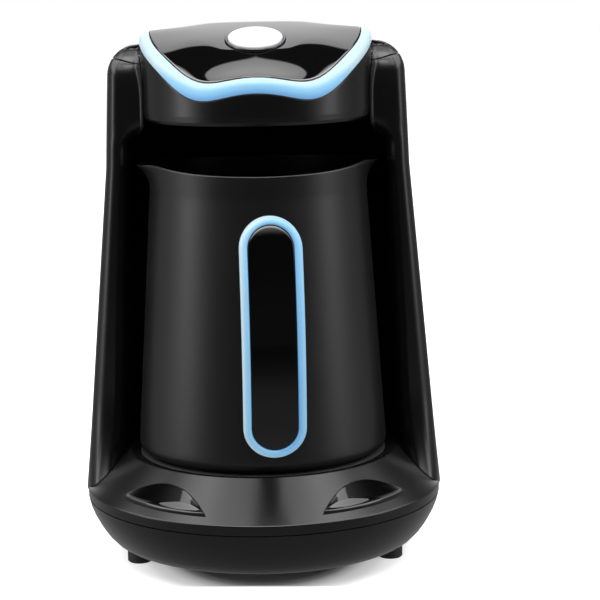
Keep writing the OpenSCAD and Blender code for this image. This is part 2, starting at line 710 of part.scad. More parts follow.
// Wire loom: from a plug on the power board, up behind the bay, to a plug on the control board
loom_start = [25, 26, board_top_z + 5];
loom_end_y = control_y * cos(button_tilt) + (board_depth + board_t) * sin(button_tilt) - button_y;
loom_end_z = control_y * sin(button_tilt) - board_depth * cos(button_tilt) + button_z;
loom_points = [
    loom_start + [0, 3, 0], [25, 36, 20], [22, 50, 18], [14, 66, 19], [5, 78, 26],
    [loom_x, loom_drop_y, 38], [loom_x, 82, 52], [loom_x, 80, 72], [loom_x, 77, 110], [loom_x, 74, 150],
    [loom_x, 71, 190], [loom_x, 69, 214], [loom_x, 65, 230], [loom_x, 56, loom_hole_z],
    [loom_x, 44, loom_hole_z + 1], [loom_x, 30, loom_hole_z + 3], [loom_x, 18, loom_end_z],
    [loom_x, loom_end_y + 5, loom_end_z + 2]
];
module wire_loom() {
    color(deep_black) placed() {
        tube(spline(loom_points, 3), loom_r, 8, [1, 0.2, 0]);
        translate([loom_start[0] - 5, loom_start[1] - 3, board_top_z + touch]) cube([10, 6.5, 9]);
        translate([loom_x - 6, loom_end_y + touch, loom_end_z - 2]) cube([12, 6.4, 6.4]);
    }
}

// Body shell
module shell_piece(steps) {
    loft([for (j = [0:shell_levels]) shell_section(steps, j)]);
}
module right_wing() {
    color(shell_grey) placed() shell_piece(wing_steps);
}
module left_wing() {
    color(shell_grey) placed() mirror([1, 0, 0]) shell_piece(wing_steps);
}
function rear_y(x, z, inset) = nose_y
    + (rear_d(z) - inset - nose_y) * sqrt(1 - pow(x / (side_w(z) - inset), 2));
screw_head_r = 3;
screw_head_t = 1.3;
function rear_head_y(z) = rear_y(rear_screw_x + screw_head_r, z + 3, 0) - screw_head_t;
module at_rear_screws() {
    for (x = [-1, 1], z = rear_screw_heights) translate([x * rear_screw_x, rear_head_y(z), z])
        rotate([90, 0, 0]) children();
}
vent_n = 6;
module rear_cover() {
    color(shell_grey) placed() difference() {
        shell_piece(rear_steps);
        at_rear_screws() {
            translate([0, 0, -8]) cylinder(r = screw_head_r + 0.2, h = 8);
            translate([0, 0, -cut]) cylinder(r = screw_r + screw_gap, h = 8);
        }
        for (k = [0:vent_n - 1]) translate([-16, 60, 206 + k * 5]) cube([32, 60, 2.2]);
    }
}
module rear_screws() {
    color(steel) placed() at_rear_screws() {
        translate([0, 0, -screw_head_t + 0.1]) cylinder(r = screw_head_r, h = screw_head_t - 0.15);
        translate([0, 0, -0.4]) cylinder(r = screw_r, h = 11);
    }
}

// Top cover: the shoulders, rounding over to a flat shelf round the head
cap_steps = concat(
    nose_steps,
    [for (k = [0:20]) 9 * k],
    [for (k = [len(nose_steps) - 1:-1:0]) 180 - nose_steps[k]]
);
function cap_low_z(p) = cap_seam_z + seam_up(p <= 180 ? p : 180 - p) + seam;
function cap_start(p) = asin((cap_low_z(p) - shoulder_z) / shoulder_r);
cap_end = 80;
cap_n = 6;
shelf_z = shoulder_z + shoulder_r + 0.1;
// Past 180 the path runs back round the left nose
function cap_plan(p, z, inset) = p <= 180 ? wing_pt(p, z, inset)
    : let (q = wing_pt(180 - p, z, inset)) [-q[0], q[1]];
// The cover's inner edge is wide enough for its chords to clear the head
function to_head(q) = q * (head_r + seam) / cos(6) / norm(q);
function cap_section(p) = concat(
    [for (k = [0:cap_n - 1]) let (
            z = shoulder_z + shoulder_r * sin(mix(cap_start(p), cap_end, k / (cap_n - 1))),
            q = cap_plan(p, z, 0)
        ) [q[0], q[1], z]],
    [let (q = to_head(cap_plan(p, shoulder_z + shoulder_r * sin(cap_end), 0))) [q[0], q[1], shelf_z]],
    [for (k = [cap_n:-1:0]) let (
            a = 90 * k / cap_n,
            low = cap_low_z(p),
            q = cap_plan(p, low, wall),
            xy = mix(to_head(q), q, cos(a))
        ) [xy[0], xy[1], mix(low, shelf_z - wall, sin(a))]]
);
module top_cover() {
    color(shell_grey) placed() loft([for (k = [len(cap_steps) - 1:-1:0]) cap_section(cap_steps[k])]);
}

// Bay liner: the black wall behind the pot, narrowing to the head
liner_heights = concat(
    [for (z = [recess_z:20:bay_neck_z - 5]) z],
    [for (k = [0:6]) mix(bay_neck_z, head_z, k / 6)]
);
liner_foot_z = slope_z(bay_low_r) + seam;
function liner_r(z) = z > head_z ? head_r + seam : bay_r(z);
liner_boss_r = 3.6;
function liner_back_y(z) = sqrt(pow(bay_r(z) + wall, 2) - pow(rear_screw_x - liner_boss_r, 2)) - 1.4;
module bay_liner() {
    inner = concat([[bay_low_r, liner_foot_z]], [for (z = liner_heights) [liner_r(z), z]],
        [[head_r + seam, liner_top_z]]);
    outer = concat([[head_r + seam + wall, liner_top_z]],
        [for (k = [len(liner_heights) - 1:-1:0]) [liner_r(liner_heights[k]) + wall, liner_heights[k]]],
        [[bay_low_r + wall, slope_z(bay_low_r + wall) + seam]]);
    color(deep_black) placed() difference() {
        union() {
            intersection() {
                rotate_extrude($fn = 120) polygon(concat(inner, outer));
                translate([-base_r, nose_y + seam, 0]) cube([2 * base_r, rear_depth, crest_z]);
            }
            for (x = [-1, 1], z = rear_screw_heights) let (y = liner_back_y(z))
                translate([x * rear_screw_x, y, z]) rotate([-90, 0, 0])
                    cylinder(r = liner_boss_r,
                        h = rear_y(rear_screw_x + liner_boss_r, z + 4, wall) - seam - y);
        }
        at_rear_screws() translate([0, 0, -cut]) cylinder(r = screw_r + screw_gap, h = 12);
    }
}

// Head
function drum_section(t) = [
    for (q = [
        [head_r - head_bevel, head_z], [head_r - 0.4, head_z + head_bevel], [head_r, head_z + 2 * head_bevel],
        [head_r, band_low(t)], [head_wall_r, band_low(t)], [head_wall_r, head_z]
    ]) [q[0] * sin(t), -q[0] * cos(t), q[1]]
];
module head_drum() {
    color(shell_grey) placed() difference() {
        loft([for (t = ring_angles(band_n)) drum_section(t)], joined = true);
        translate([loom_x, 40, loom_hole_z]) rotate([-90, 0, 0]) cylinder(r = loom_r + 1.2, h = 40);
    }
}
module head_floor() {
    color(deep_black) placed() translate([0, 0, floor_z]) difference() {
        cylinder(r = head_wall_r - seat_gap, h = floor_t);
        translate([0, 0, -cut]) cylinder(r = window_r + seat_gap, h = floor_t + 2 * cut);
    }
}
module sensor_window() {
    color(gloss_black) placed() translate([0, 0, floor_z + 0.2]) cylinder(r = window_r, h = floor_t - 0.2);
}
module foam_sensor() {
    color(board_green) placed() translate([-11, -7, floor_z + floor_t + touch]) cube([22, 14, 7]);
}

// Band: a rounded trim ring between the drum's wavy edge and the panel
band_skirt = 2.4;
band_angles = [10, 28, 45, 62, 77, 90];
function band_section(t) = let (low = band_low(t) + seat_gap, high = band_high(t)) [
    for (q = concat(
        [[head_r, low]],
        [for (u = band_angles) [
            mix(band_inner_r, head_r + band_proud, pow(cos(u), 0.8)),
            mix(low, high, pow(sin(u), 0.8))
        ]],
        [[band_inner_r, high - band_skirt], [head_wall_r + 0.4, low]]
    )) [q[0] * sin(t), -q[0] * cos(t), q[1]]
];
module head_band() {
    color(pale_blue) placed() loft([for (t = ring_angles(band_n)) band_section(t)], joined = true);
}

// Top panel, with a hole for the bezel and four posts for the control board
panel_radii = [0.9, 12, 24, 35, 44, band_inner_r - seat_gap];
function panel_section(t) = [
    for (q = concat(
        [for (r = panel_radii) [r, panel_point_z(r, t) - panel_t]],
        [for (k = [len(panel_radii) - 1:-1:0]) [panel_radii[k], panel_point_z(panel_radii[k], t)]]
    )) [q[0] * sin(t), -q[0] * cos(t), q[1]]
];
board_post_x = 22;
board_post_y = 13;
// Middle of the panel's thickness over a post, along the button's axis
function post_top(x, y) = let (py = y * cos(button_tilt) - button_y, r = norm([x, py]))
    (panel_point_z(r, atan2(x, -py)) - button_z - y * sin(button_tilt) - panel_t / 2) * cos(button_tilt);
module board_spots() {
    for (x = [-1, 1], y = [-1, 1]) translate([x * board_post_x, y * board_post_y, 0]) children();
}
module top_panel() {
    color(gloss_black) placed() difference() {
        union() {
            loft([for (t = ring_angles(ring_n)) panel_section(t)], joined = true);
            at_button() for (x = [-1, 1], y = [-1, 1])
                translate([x * board_post_x, y * board_post_y, seat_gap - board_depth])
                    cylinder(r = 2.8, h = post_top(board_post_x, y * board_post_y) - seat_gap + board_depth);
        }
        at_button() translate([0, 0, -5]) cylinder(r = bezel_r + seat_gap, h = 12);
        at_button() board_spots() translate([0, 0, -board_depth - cut])
            cylinder(r = small_screw_r + screw_gap, h = 8);
    }
}
module button_bezel() {
    color(bezel_grey) placed() at_button() difference() {
        rotate_extrude() polygon([
            [button_r + button_gap, -panel_t - 0.4], [bezel_r, -panel_t - 0.4], [bezel_r, 0.2],
            [bezel_r - 0.3 * bezel_w, 0.4], [button_r + button_gap + 0.3 * bezel_w, 0.4],
            [button_r + button_gap, 0.2]
        ]);
    }
}

// Button, seen along its own axis: z = 0 is the panel's surface
cap_top_z = 1.5;
module button_cap() {
    color(cap_white) placed() at_button() {
        rotate_extrude() polygon(concat(
            [[0, cap_skirt_z], [bezel_r, cap_skirt_z], [bezel_r, -panel_t - 0.6],
                [button_r, -panel_t - 0.6]],
            [for (a = [0:18:90]) [button_r - 1.4 + 1.4 * cos(a), cap_top_z - 1.4 + 1.4 * sin(a)]],
            [[button_r * 0.6, cap_top_z + 0.3], [0, cap_top_z + 0.45]]
        ));
        translate([0, 0, plunger_top_z + touch]) cylinder(r = 3, h = cap_skirt_z - plunger_top_z);
    }
}
module button_spring() {
    color(steel) placed() at_button() translate([0, 0, switch_top_z + 0.05])
        coil(4.6, 0.45, cap_skirt_z - switch_top_z - 0.1, 3);
}
module switch_body() {
    color(deep_black) placed() at_button() translate([0, 0, seat_gap - board_depth]) difference() {
        translate([-6, -6, 0]) cube([12, 12, switch_h]);
        translate([0, 0, switch_floor_t]) cylinder(r = plunger_r + slide_gap, h = switch_h);
    }
}
module switch_plunger() {
    color(cap_white) placed() at_button() translate([0, 0, switch_top_z - plunger_in])
        cylinder(r = plunger_r, h = plunger_top_z - switch_top_z + plunger_in);
}
module control_board() {
    color(board_green) placed() at_button() difference() {
        translate([-control_x, -control_y, -board_depth - board_t])
            cube([2 * control_x, 2 * control_y, board_t]);
        board_spots() translate([0, 0, -board_depth - board_t - cut])
            cylinder(r = small_screw_r + screw_gap, h = board_t + 2 * cut);
    }
}
module control_board_screws() {
    color(steel) placed() at_button() board_spots() translate([0, 0, -board_depth - board_t - 0.05])
        pan_screw(small_head_r, small_head_h, small_screw_r, small_screw_l);
}
module button_lamps() {
    color(cap_white) placed() at_button() for (x = [-1, 1]) translate([x * 10, 0, seat_gap - board_depth])
        cylinder(r = 1.6, h = 4.5);
}
module buzzer() {
    color(deep_black) placed() at_button() translate([14, 2, -board_depth - board_t - touch - 6])
        cylinder(r = 6, h = 6);
}

// Pot: jacket with rim and spouts, cup inside, steel disc under it
function pot_r(z) = z < pot_neck_z
    ? mix(pot_low_r, pot_neck_r, (z - pot_z - pot_round) / (pot_neck_z - pot_z - pot_round))
    : pot_neck_r + 0.3 * (z - pot_neck_z) / (rim_top_z - pot_neck_z);
function spout(t) = exp(-pow((90 - abs(t)) / spout_spread, 2));
function flare(z) = pow(clamp01((z - pot_neck_z) / (rim_top_z - pot_neck_z)), 3);
function rim_lift(t) = rim_sweep * exp(-pow((90 - abs(t)) / sweep_spread, 2)) - spout_droop * spout(t);
jacket_heights = concat([pot_z + pot_round, 100, 150],
    [for (k = [0, 0.35, 0.62, 0.82]) mix(pot_neck_z, rim_top_z, k)], [rim_top_z - 0.5]);
rim_t = 1.6;
function jacket_point(z, t, inset) = [
    pot_r(z) - inset + spout_reach * spout(t) * flare(z),
    z + rim_lift(t) * flare(z)
];
function jacket_section(t) = [
    for (q = concat(
        [[base_disc_r + seat_gap, pot_z]],
        [for (a = [0:22.5:67.5])
            [pot_low_r - pot_round + pot_round * sin(a), pot_z + pot_round - pot_round * cos(a)]],
        [for (z = jacket_heights) jacket_point(z, t, 0)],
        [[pot_r(rim_top_z) - 0.6 + spout_reach * spout(t), rim_top_z + rim_lift(t)],
            [pot_r(rim_top_z) - 1.3 + spout_reach * spout(t), rim_top_z - 0.4 + rim_lift(t)]],
        [for (k = [len(jacket_heights) - 2:-1:0])
            jacket_point(jacket_heights[k], t, k > 3 ? rim_t : jacket_t)],
        [for (a = [67.5:-22.5:0]) [pot_low_r - pot_round + (pot_round - jacket_t) * sin(a),
            pot_z + pot_round - (pot_round - jacket_t) * cos(a)]],
        [[base_disc_r + seat_gap, pot_z + jacket_t]]
    )) [q[0] * sin(t), -q[0] * cos(t), q[1]]
];
module at_handle_screws() {
    for (z = bridge_heights) translate([0, jacket_t - handle_head_t - 0.2 - pot_r(z + handle_head_r), z])
        rotate([90, 0, 0]) children();
}
module pot_jacket() {
    color(shell_grey) placed() in_pot() difference() {
        loft([for (t = ring_angles(pot_n)) jacket_section(t)], joined = true);
        at_handle_screws() {
            translate([0, 0, -4]) cylinder(r = handle_head_r + 0.2, h = 4);
            translate([0, 0, -cut]) cylinder(r = screw_r + screw_gap, h = 6);
        }
    }
}
cup_top_z = 176;
cup_z = pot_z + base_disc_t + 0.2;
cup_round = pot_round - cup_out;
function cup_profile(inset, top) = concat(
    [[0, cup_z + inset]],
    [for (a = [0:15:90]) [pot_low_r - pot_round + (cup_round - inset) * sin(a),
        cup_z + cup_round - (cup_round - inset) * cos(a)]],
    [[pot_r(top) - cup_out - inset, top], [0, top]]
);
module pot_cup() {
    color(deep_black) placed() in_pot() rotate_extrude() difference() {
        polygon(cup_profile(0, cup_top_z));
        polygon(cup_profile(cup_t, cup_top_z + 1));
    }
}
module pot_base() {
    color(steel) placed() in_pot() translate([0, 0, pot_z]) cylinder(r = base_disc_r, h = base_disc_t);
}

// Handle: a bent bar with round ends, two bridges to the pot, a trim ring and an inlay
module stadium(w, low, high) {
    rotate([90, 0, 0]) linear_extrude(height = 130) {
        translate([0, low + w / 2]) circle(r = w / 2);
        translate([0, high - w / 2]) circle(r = w / 2);
        translate([-w / 2, low + w / 2]) square([w, high - low - w]);
    }
}
module bent_slab(front, back) {
    translate([-30, handle_bend - handle_reach, handle_plumb_z]) rotate([0, 90, 0]) difference() {
        cylinder(r = handle_bend - front, h = 60, $fn = 200);
        translate([0, 0, -cut]) cylinder(r = handle_bend - back, h = 60 + 2 * cut, $fn = 200);
    }
}
module pot_envelope(gap) {
    rotate_extrude() polygon([
        [0, pot_z], [pot_low_r + gap, pot_z], [pot_low_r + gap, pot_z + pot_round],
        [pot_neck_r + gap, pot_neck_z], [0, pot_neck_z]
    ]);
}
module handle_shell() {
    color(shell_grey) placed() in_pot() difference() {
        union() {
            intersection() {
                bent_slab(trim_t + touch, handle_t);
                stadium(handle_w, handle_low_z, handle_top_z);
            }
            for (z = bridge_heights) intersection() {
                translate([-bridge_w / 2, -handle_reach, z - bridge_h / 2])
                    cube([bridge_w, handle_reach - 45, bridge_h]);
                translate([-30, handle_bend - handle_reach, handle_plumb_z]) rotate([0, 90, 0])
                    cylinder(r = handle_bend - handle_t / 2, h = 60, $fn = 200);
            }
        }
        pot_envelope(seat_gap);
        at_handle_screws() cylinder(r = screw_r + screw_gap, h = handle_screw_l + 1.5);
    }
}
module handle_trim() {
    color(pale_blue) placed() in_pot() intersection() {
        bent_slab(0, trim_t);
        difference() {
            stadium(handle_w, handle_low_z, handle_top_z);
            translate([0, 1, 0])
                stadium(handle_w - 2 * trim_w, handle_low_z + trim_w, handle_top_z - trim_w);
        }
    }
}
module handle_inlay() {
    color(gloss_black) placed() in_pot() intersection() {
        bent_slab(0.6, trim_t);
        stadium(handle_w - 2 * trim_w - 2 * seat_gap, handle_low_z + trim_w + seat_gap,
            handle_top_z - trim_w - seat_gap);
    }
}
module handle_screws() {
    color(steel) placed() in_pot() at_handle_screws() {
        translate([0, 0, -handle_head_t - 0.05]) cylinder(r = handle_head_r, h = handle_head_t);
        translate([0, 0, -cut]) cylinder(r = screw_r, h = handle_screw_l + cut);
    }
}

base_tray();
base_cover();
leaf_pad_left();
leaf_pad_right();
rubber_feet();
centre_foot();
base_screws();
cord_gland();
seat_seal();
heater_plate();
heating_element();
heater_studs();
heat_shield();
sensor_holder();
temperature_sensor();
sensor_spring();
thermal_fuse();
power_board();
power_supply();
relay();
mains_terminal();
capacitors();
power_board_screws();
wire_loom();
left_wing();
right_wing();
rear_cover();
rear_screws();
top_cover();
bay_liner();
head_drum();
head_floor();
sensor_window();
foam_sensor();
head_band();
top_panel();
button_bezel();
button_cap();
button_spring();
switch_body();
switch_plunger();
control_board();
control_board_screws();
button_lamps();
buzzer();
pot_jacket();
pot_cup();
pot_base();
handle_shell();
handle_trim();
handle_inlay();
handle_screws();
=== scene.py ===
import math

import bmesh
import bpy
import numpy as np
from mathutils import Matrix


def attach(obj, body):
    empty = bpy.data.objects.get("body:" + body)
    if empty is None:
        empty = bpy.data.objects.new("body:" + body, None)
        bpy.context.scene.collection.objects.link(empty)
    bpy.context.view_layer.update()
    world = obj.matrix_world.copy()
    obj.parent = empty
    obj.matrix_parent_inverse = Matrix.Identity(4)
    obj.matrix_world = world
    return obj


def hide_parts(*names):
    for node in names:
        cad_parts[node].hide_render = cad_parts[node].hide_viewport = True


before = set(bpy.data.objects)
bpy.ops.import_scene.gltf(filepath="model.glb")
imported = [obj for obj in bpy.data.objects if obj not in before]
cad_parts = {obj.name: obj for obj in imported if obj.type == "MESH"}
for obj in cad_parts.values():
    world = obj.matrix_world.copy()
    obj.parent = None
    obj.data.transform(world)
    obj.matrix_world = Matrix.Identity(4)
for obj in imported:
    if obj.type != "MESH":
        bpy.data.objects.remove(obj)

for spare in ("Cube", "Light", "Camera"):
    if spare in bpy.data.objects:
        bpy.data.objects.remove(bpy.data.objects[spare])
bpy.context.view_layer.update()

# Sizes of the machine in millimetres, about the pot's axis, with the front towards -Y
BASE_R = 86.6
PARTING_Z = 30.0
RIM_Z = 35.9
RIM_R = BASE_R - 1.2
RECESS_R = 65.2
RECESS_Z = 52.5
SEAT_HOLE_R = 60.3
COVER_ROUND_R = 71.0
PAD_W = 11.3
REAR_DEPTH = 105.0
WING_W = BASE_R + 0.5
BODY_DEPTH = REAR_DEPTH - 0.5
WAIST_W = 73.6
WAIST_Z = 190.0
SHOULDER_W = 71.8
SHOULDER_DEPTH = 86.5
SHOULDER_Z = 234.5
SHOULDER_R = 15.0
CAP_SEAM_Z = 240.3
SEAM_RISE = 2.6
NOSE_Y = 3.0
NOSE_REACH = 9.0
FOOT_REACH = 14.0
FOOT_FADE = 45.0
NOSE_ROUND = 6.0
WEB_ANGLE = 16.0
NOSE_LEAN = 1.3
REAR_SPLIT = 50.0
REAR_SPLIT_MM = 1.45  # length of one degree of the path at the split
WING_ROWS = 206.0
BAY_LOW_R = 68.0
BAY_NECK_R = 62.0
BAY_NECK_Z = 201.0
HEAD_Z = 213.5
HEAD_R = 55.6
HEAD_IN_R = 53.2
DRUM_FLAT_Z = 236.0
BAND_LOW_Z = 230.0
BAND_HIGH_Z = 237.3
BAND_INNER_R = 50.8
BAND_SEAT_R = 53.6
PANEL_RIM_R = BAND_INNER_R - 0.45
PANEL_ROWS = 34.0
PANEL_T = 2.2
CREST_Z = 259.9
CREST_Y = 18.0
BUTTON_Y = 16.5
BUTTON_TILT = math.radians(19.5)
BUTTON_R = 13.0
BEZEL_R = BUTTON_R + 1.1
POT_Z = 52.2
POT_LOW_R = 60.7
POT_ROUND = 5.0
POT_NECK_R = 52.5
POT_NECK_Z = 180.0
RIM_TOP_Z = 190.4
POT_HOLE_R = 52.15
SPOUT_REACH = 6.3
POT_TURN = math.radians(3.4)
HANDLE_REACH = 98.0
HANDLE_W = 28.3
HANDLE_LOW = 68.5
HANDLE_TOP = 176.0
HANDLE_PLUMB = 105.0
HANDLE_BEND = 175.0
HANDLE_T = 11.0
TRIM_W = 3.7
TRIM_T = 2.6
WALL = 2.4
SEAM = 0.3
SHIFT_Y = (HANDLE_REACH * math.cos(POT_TURN) + HANDLE_W / 2 * math.sin(POT_TURN) - REAR_DEPTH) / 2


# Helpers
def mix(a, b, t):
    """From a at t = 0 to b at t = 1 along a straight line."""
    return a + (b - a) * t


def ease(t):
    """Smooth step: 3u squared less 2u cubed, u held between 0 and 1."""
    u = np.clip(t, 0.0, 1.0)
    return u * u * (3 - 2 * u)


def soft_min(a, b, k):
    """The lesser of a and b with the corner rounded over a width k: -k ln(exp(-a/k) + exp(-b/k))."""
    return -k * np.log(np.exp(-a / k) + np.exp(-b / k))


def edge_round(d, r):
    """Inset of a quarter circle of radius r at a distance d from an edge: r less the root of r squared
    less (r - d) squared."""
    u = np.clip(r - d, 0.0, r)
    return r - np.sqrt(np.maximum(r * r - u * u, 0.0))


def close_steps(a, b, n, fine=(0.0, 0.04, 0.12, 0.22, 0.34, 0.48, 0.64, 0.9, 1.4)):
    """Values from a to b in n even steps, with extra ones close to both ends to hold the rounded edges."""
    f = np.array(fine)
    mid = np.linspace(a, b, n + 2)[1:-1]
    return np.unique(np.concatenate([a + f, mid[(mid > a + f[-1]) & (mid < b - f[-1])], b - f]))


def fillet_line(points, radii, arc=6, step=6.0):
    """A polyline whose corners are rounded: each corner becomes an arc of the given radius, and the
    straights between are cut in steps, with a support point beside each arc."""
    pts = [np.array(p, float) for p in points]
    out = [pts[0]]
    for a, b, c, r in zip(pts[:-2], pts[1:-1], pts[2:], radii):
        u = (a - b) / np.linalg.norm(a - b)
        v = (c - b) / np.linalg.norm(c - b)
        half = math.acos(max(-1.0, min(1.0, float(u @ v)))) / 2
        if r <= 0 or half > 1.55:
            out.append(b)
            continue
        reach = r / math.tan(half)
        centre = b + (u + v) / np.linalg.norm(u + v) * r / math.sin(half)
        first, last = b + u * reach - centre, b + v * reach - centre
        angle = math.acos(max(-1.0, min(1.0, float(first @ last) / r / r)))
        out.append(centre + first + u * r * 0.35)
        for k in range(arc + 1):
            s = k / arc
            turn = math.sin((1 - s) * angle) * first + math.sin(s * angle) * last
            out.append(centre + turn / math.sin(angle))
        out.append(centre + last + v * r * 0.35)
    out.append(pts[-1])
    line = [out[0]]
    for p in out[1:]:
        n = max(1, int(np.linalg.norm(p - line[-1]) // step))
        for k in range(n):
            line.append(mix(line[-1], p, 1 / (n - k)))
    return np.array(line)


def grid_faces(rows, cols, wrap_rows=False, wrap_cols=False, start=0, flip=False):
    """Quads of a grid of rows x cols vertices numbered row by row."""
    i = np.arange(rows if wrap_rows else rows - 1)
    j = np.arange(cols if wrap_cols else cols - 1)
    ii, jj = np.meshgrid(i, j, indexing="ij")
    a = ii * cols + jj
    b = ((ii + 1) % rows) * cols + jj
    c = ((ii + 1) % rows) * cols + (jj + 1) % cols
    d = ii * cols + (jj + 1) % cols
    q = np.stack([a, b, c, d], -1).reshape(-1, 4) + start
    return q[:, ::-1] if flip else q


def shell_arrays(outer, inner, wrap=False):
    """A closed wall between two grids of the same size: both skins and the strips that join their borders."""
    rows, cols = outer.shape[:2]
    n = rows * cols
    idx = np.arange(n).reshape(rows, cols)
    faces = [grid_faces(rows, cols, wrap_rows=wrap),
             grid_faces(rows, cols, wrap_rows=wrap, start=n, flip=True)]
    borders = [idx[:, 0], idx[:, -1]]
    if not wrap:
        borders += [idx[0, :], idx[-1, :]]
    for line in borders:
        a = line if wrap else line[:-1]
        b = np.roll(line, -1) if wrap else line[1:]
        faces.append(np.stack([a, b, b + n, a + n], -1))
    return np.concatenate([outer.reshape(-1, 3), inner.reshape(-1, 3)]), np.concatenate(faces)


def grid_arrays(grid, wrap_rows=False, wrap_cols=False):
    """The points and quads of one grid."""
    rows, cols = grid.shape[:2]
    return grid.reshape(-1, 3), grid_faces(rows, cols, wrap_rows, wrap_cols)


def joined(*pairs):
    """Several vertex and face arrays as one."""
    verts, faces, start = [], [], 0
    for v, f in pairs:
        verts.append(v)
        faces.append(f + start)
        start += len(v)
    return np.concatenate(verts), np.concatenate(faces)


def moved(arrays, move):
    """The same faces with every point carried by move."""
    verts, faces = arrays
    return move(verts), faces


def in_metres(v):
    """Millimetres about the pot's axis as metres about the middle of the whole."""
    return (v + np.array([0.0, SHIFT_Y, 0.0])) * 0.001


def place_piece(name, mesh, material, body, nodes, sharp):
    """Shades the mesh smooth except at edges sharper than an angle, and sets it on its body."""
    mesh.polygons.foreach_set("use_smooth", np.ones(len(mesh.polygons), bool))
    mesh.set_sharp_from_angle(angle=math.radians(sharp))
    mesh.materials.append(material)
    piece = bpy.data.objects.new(name, mesh)
    bpy.context.scene.collection.objects.link(piece)
    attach(piece, body)
    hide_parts(*nodes)


def make_piece(name, arrays, material, body, nodes, sharp=35.0, painted_shading=None):
    """Writes the arrays to a mesh, closes its seams and poles, points its faces outwards and places it.
    A painted_shading array is one number a point that the colour follows: painted light and shade."""
    verts, faces = arrays
    mesh = bpy.data.meshes.new(name)
    mesh.from_pydata(in_metres(verts), [], faces.tolist())
    if painted_shading is not None:
        mesh.attributes.new("painted_shading", "FLOAT", "POINT").data.foreach_set("value", painted_shading.ravel())
    bm = bmesh.new()
    bm.from_mesh(mesh)
    bmesh.ops.remove_doubles(bm, verts=bm.verts, dist=2e-7)
    bmesh.ops.dissolve_degenerate(bm, edges=bm.edges, dist=2e-7)
    bmesh.ops.recalc_face_normals(bm, faces=bm.faces)
    bm.to_mesh(mesh)
    bm.free()
    place_piece(name, mesh, material, body, nodes, sharp)


def smoothed_node(name, node, material, body, sharp=30.0):
    """A merged copy of a node's own mesh, shaded smooth across its facets."""
    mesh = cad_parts[node].data.copy()
    mesh.name = name
    bm = bmesh.new()
    bm.from_mesh(mesh)
    bmesh.ops.remove_doubles(bm, verts=bm.verts, dist=1e-6)
    bm.to_mesh(mesh)
    bm.free()
    if "custom_normal" in mesh.attributes:
        mesh.attributes.remove(mesh.attributes["custom_normal"])
    mesh.materials.clear()
    place_piece(name, mesh, material, body, [node], sharp)


# Finishes
def finish(name, colour, roughness, grain=0.0, grain_size=900.0, vary=0.08, **sockets):
    """A plastic, rubber or metal finish: a slow noise varies colour and roughness a little, and a fine
    noise gives the surface its moulded grain through a bump."""
    mat = bpy.data.materials.new(name)
    mat.use_nodes = True
    nodes, links = mat.node_tree.nodes, mat.node_tree.links
    bsdf = nodes["Principled BSDF"]
    coords = nodes.new("ShaderNodeTexCoord")
    slow = nodes.new("ShaderNodeTexNoise")
    slow.inputs["Scale"].default_value = 38.0
    slow.inputs["Detail"].default_value = 3.0
    links.new(coords.outputs["Object"], slow.inputs["Vector"])
    tone = nodes.new("ShaderNodeMix")
    tone.data_type = "RGBA"
    tone.inputs["A"].default_value = (*[c * (1 - vary) for c in colour], 1)
    tone.inputs["B"].default_value = (*[min(1.0, c * (1 + vary)) for c in colour], 1)
    links.new(slow.outputs["Fac"], tone.inputs["Factor"])
    links.new(tone.outputs["Result"], bsdf.inputs["Base Color"])
    rough = nodes.new("ShaderNodeMapRange")
    rough.inputs["To Min"].default_value = roughness * 0.93
    rough.inputs["To Max"].default_value = min(1.0, roughness * 1.07)
    links.new(slow.outputs["Fac"], rough.inputs["Value"])
    links.new(rough.outputs["Result"], bsdf.inputs["Roughness"])
    if grain:
        fine = nodes.new("ShaderNodeTexNoise")
        fine.inputs["Scale"].default_value = grain_size
        fine.inputs["Detail"].default_value = 2.0
        links.new(coords.outputs["Object"], fine.inputs["Vector"])
        bump = nodes.new("ShaderNodeBump")
        bump.inputs["Strength"].default_value = grain
        bump.inputs["Distance"].default_value = 0.0001
        links.new(fine.outputs["Fac"], bump.inputs["Height"])
        links.new(bump.outputs["Normal"], bsdf.inputs["Normal"])
    for key, value in sockets.items():
        bsdf.inputs[key.replace("_", " ")].default_value = value
    return mat


body_grey = finish("body_grey_plastic", (0.0035, 0.0035, 0.0038), 0.26, grain=0.12, Specular_IOR_Level=0.3)
pot_grey = finish("pot_grey_plastic", (0.0045, 0.0045, 0.0048), 0.36, grain=0.12, Specular_IOR_Level=0.33)
matt_black = finish("matt_black_plastic", (0.0015, 0.0015, 0.0016), 0.5, grain=0.15, Specular_IOR_Level=0.08)
panel_black = finish("panel_black_lacquer", (0.0015, 0.0015, 0.0018), 0.04, vary=0.02,
                     Specular_IOR_Level=0.9)
gloss_black = finish("gloss_black_plastic", (0.0015, 0.0015, 0.0017), 0.045, vary=0.02,
                     Specular_IOR_Level=0.4)
cap_white = finish("white_plastic", (0.83, 0.84, 0.87), 0.22, vary=0.01)
bezel_grey = finish("dark_bezel_plastic", (0.008, 0.008, 0.009), 0.07, vary=0.03, Specular_IOR_Level=0.85)


def blue_with_painted_shading():
    """Pale blue plastic with painted light and shade: by the piece's painted_shading the colour runs from a
    deeper blue of painted shade at one edge to nearly white, a painted highlight, at the other."""
    mat = finish("sky_blue_plastic", (0.3, 0.6, 0.9), 0.35, vary=0.02, Specular_IOR_Level=0.25)
    nodes, links = mat.node_tree.nodes, mat.node_tree.links
    painted_shading = nodes.new("ShaderNodeAttribute")
    painted_shading.attribute_name = "painted_shading"
    ramp = nodes.new("ShaderNodeValToRGB")
    ramp.color_ramp.interpolation = "EASE"
    # Painted shade at the deep blue end of the ramp, a painted highlight at the nearly white end.
    ramp.color_ramp.elements[0].color = (0.16, 0.41, 0.76, 1)
    ramp.color_ramp.elements[1].color = (0.6, 0.78, 0.86, 1)
    ramp.color_ramp.elements.new(0.55).color = (0.3, 0.63, 0.93, 1)
    links.new(painted_shading.outputs["Fac"], ramp.inputs["Fac"])
    base = nodes["Principled BSDF"].inputs["Base Color"]
    nodes.remove(base.links[0].from_node)
    links.new(ramp.outputs["Color"], base)
    return mat


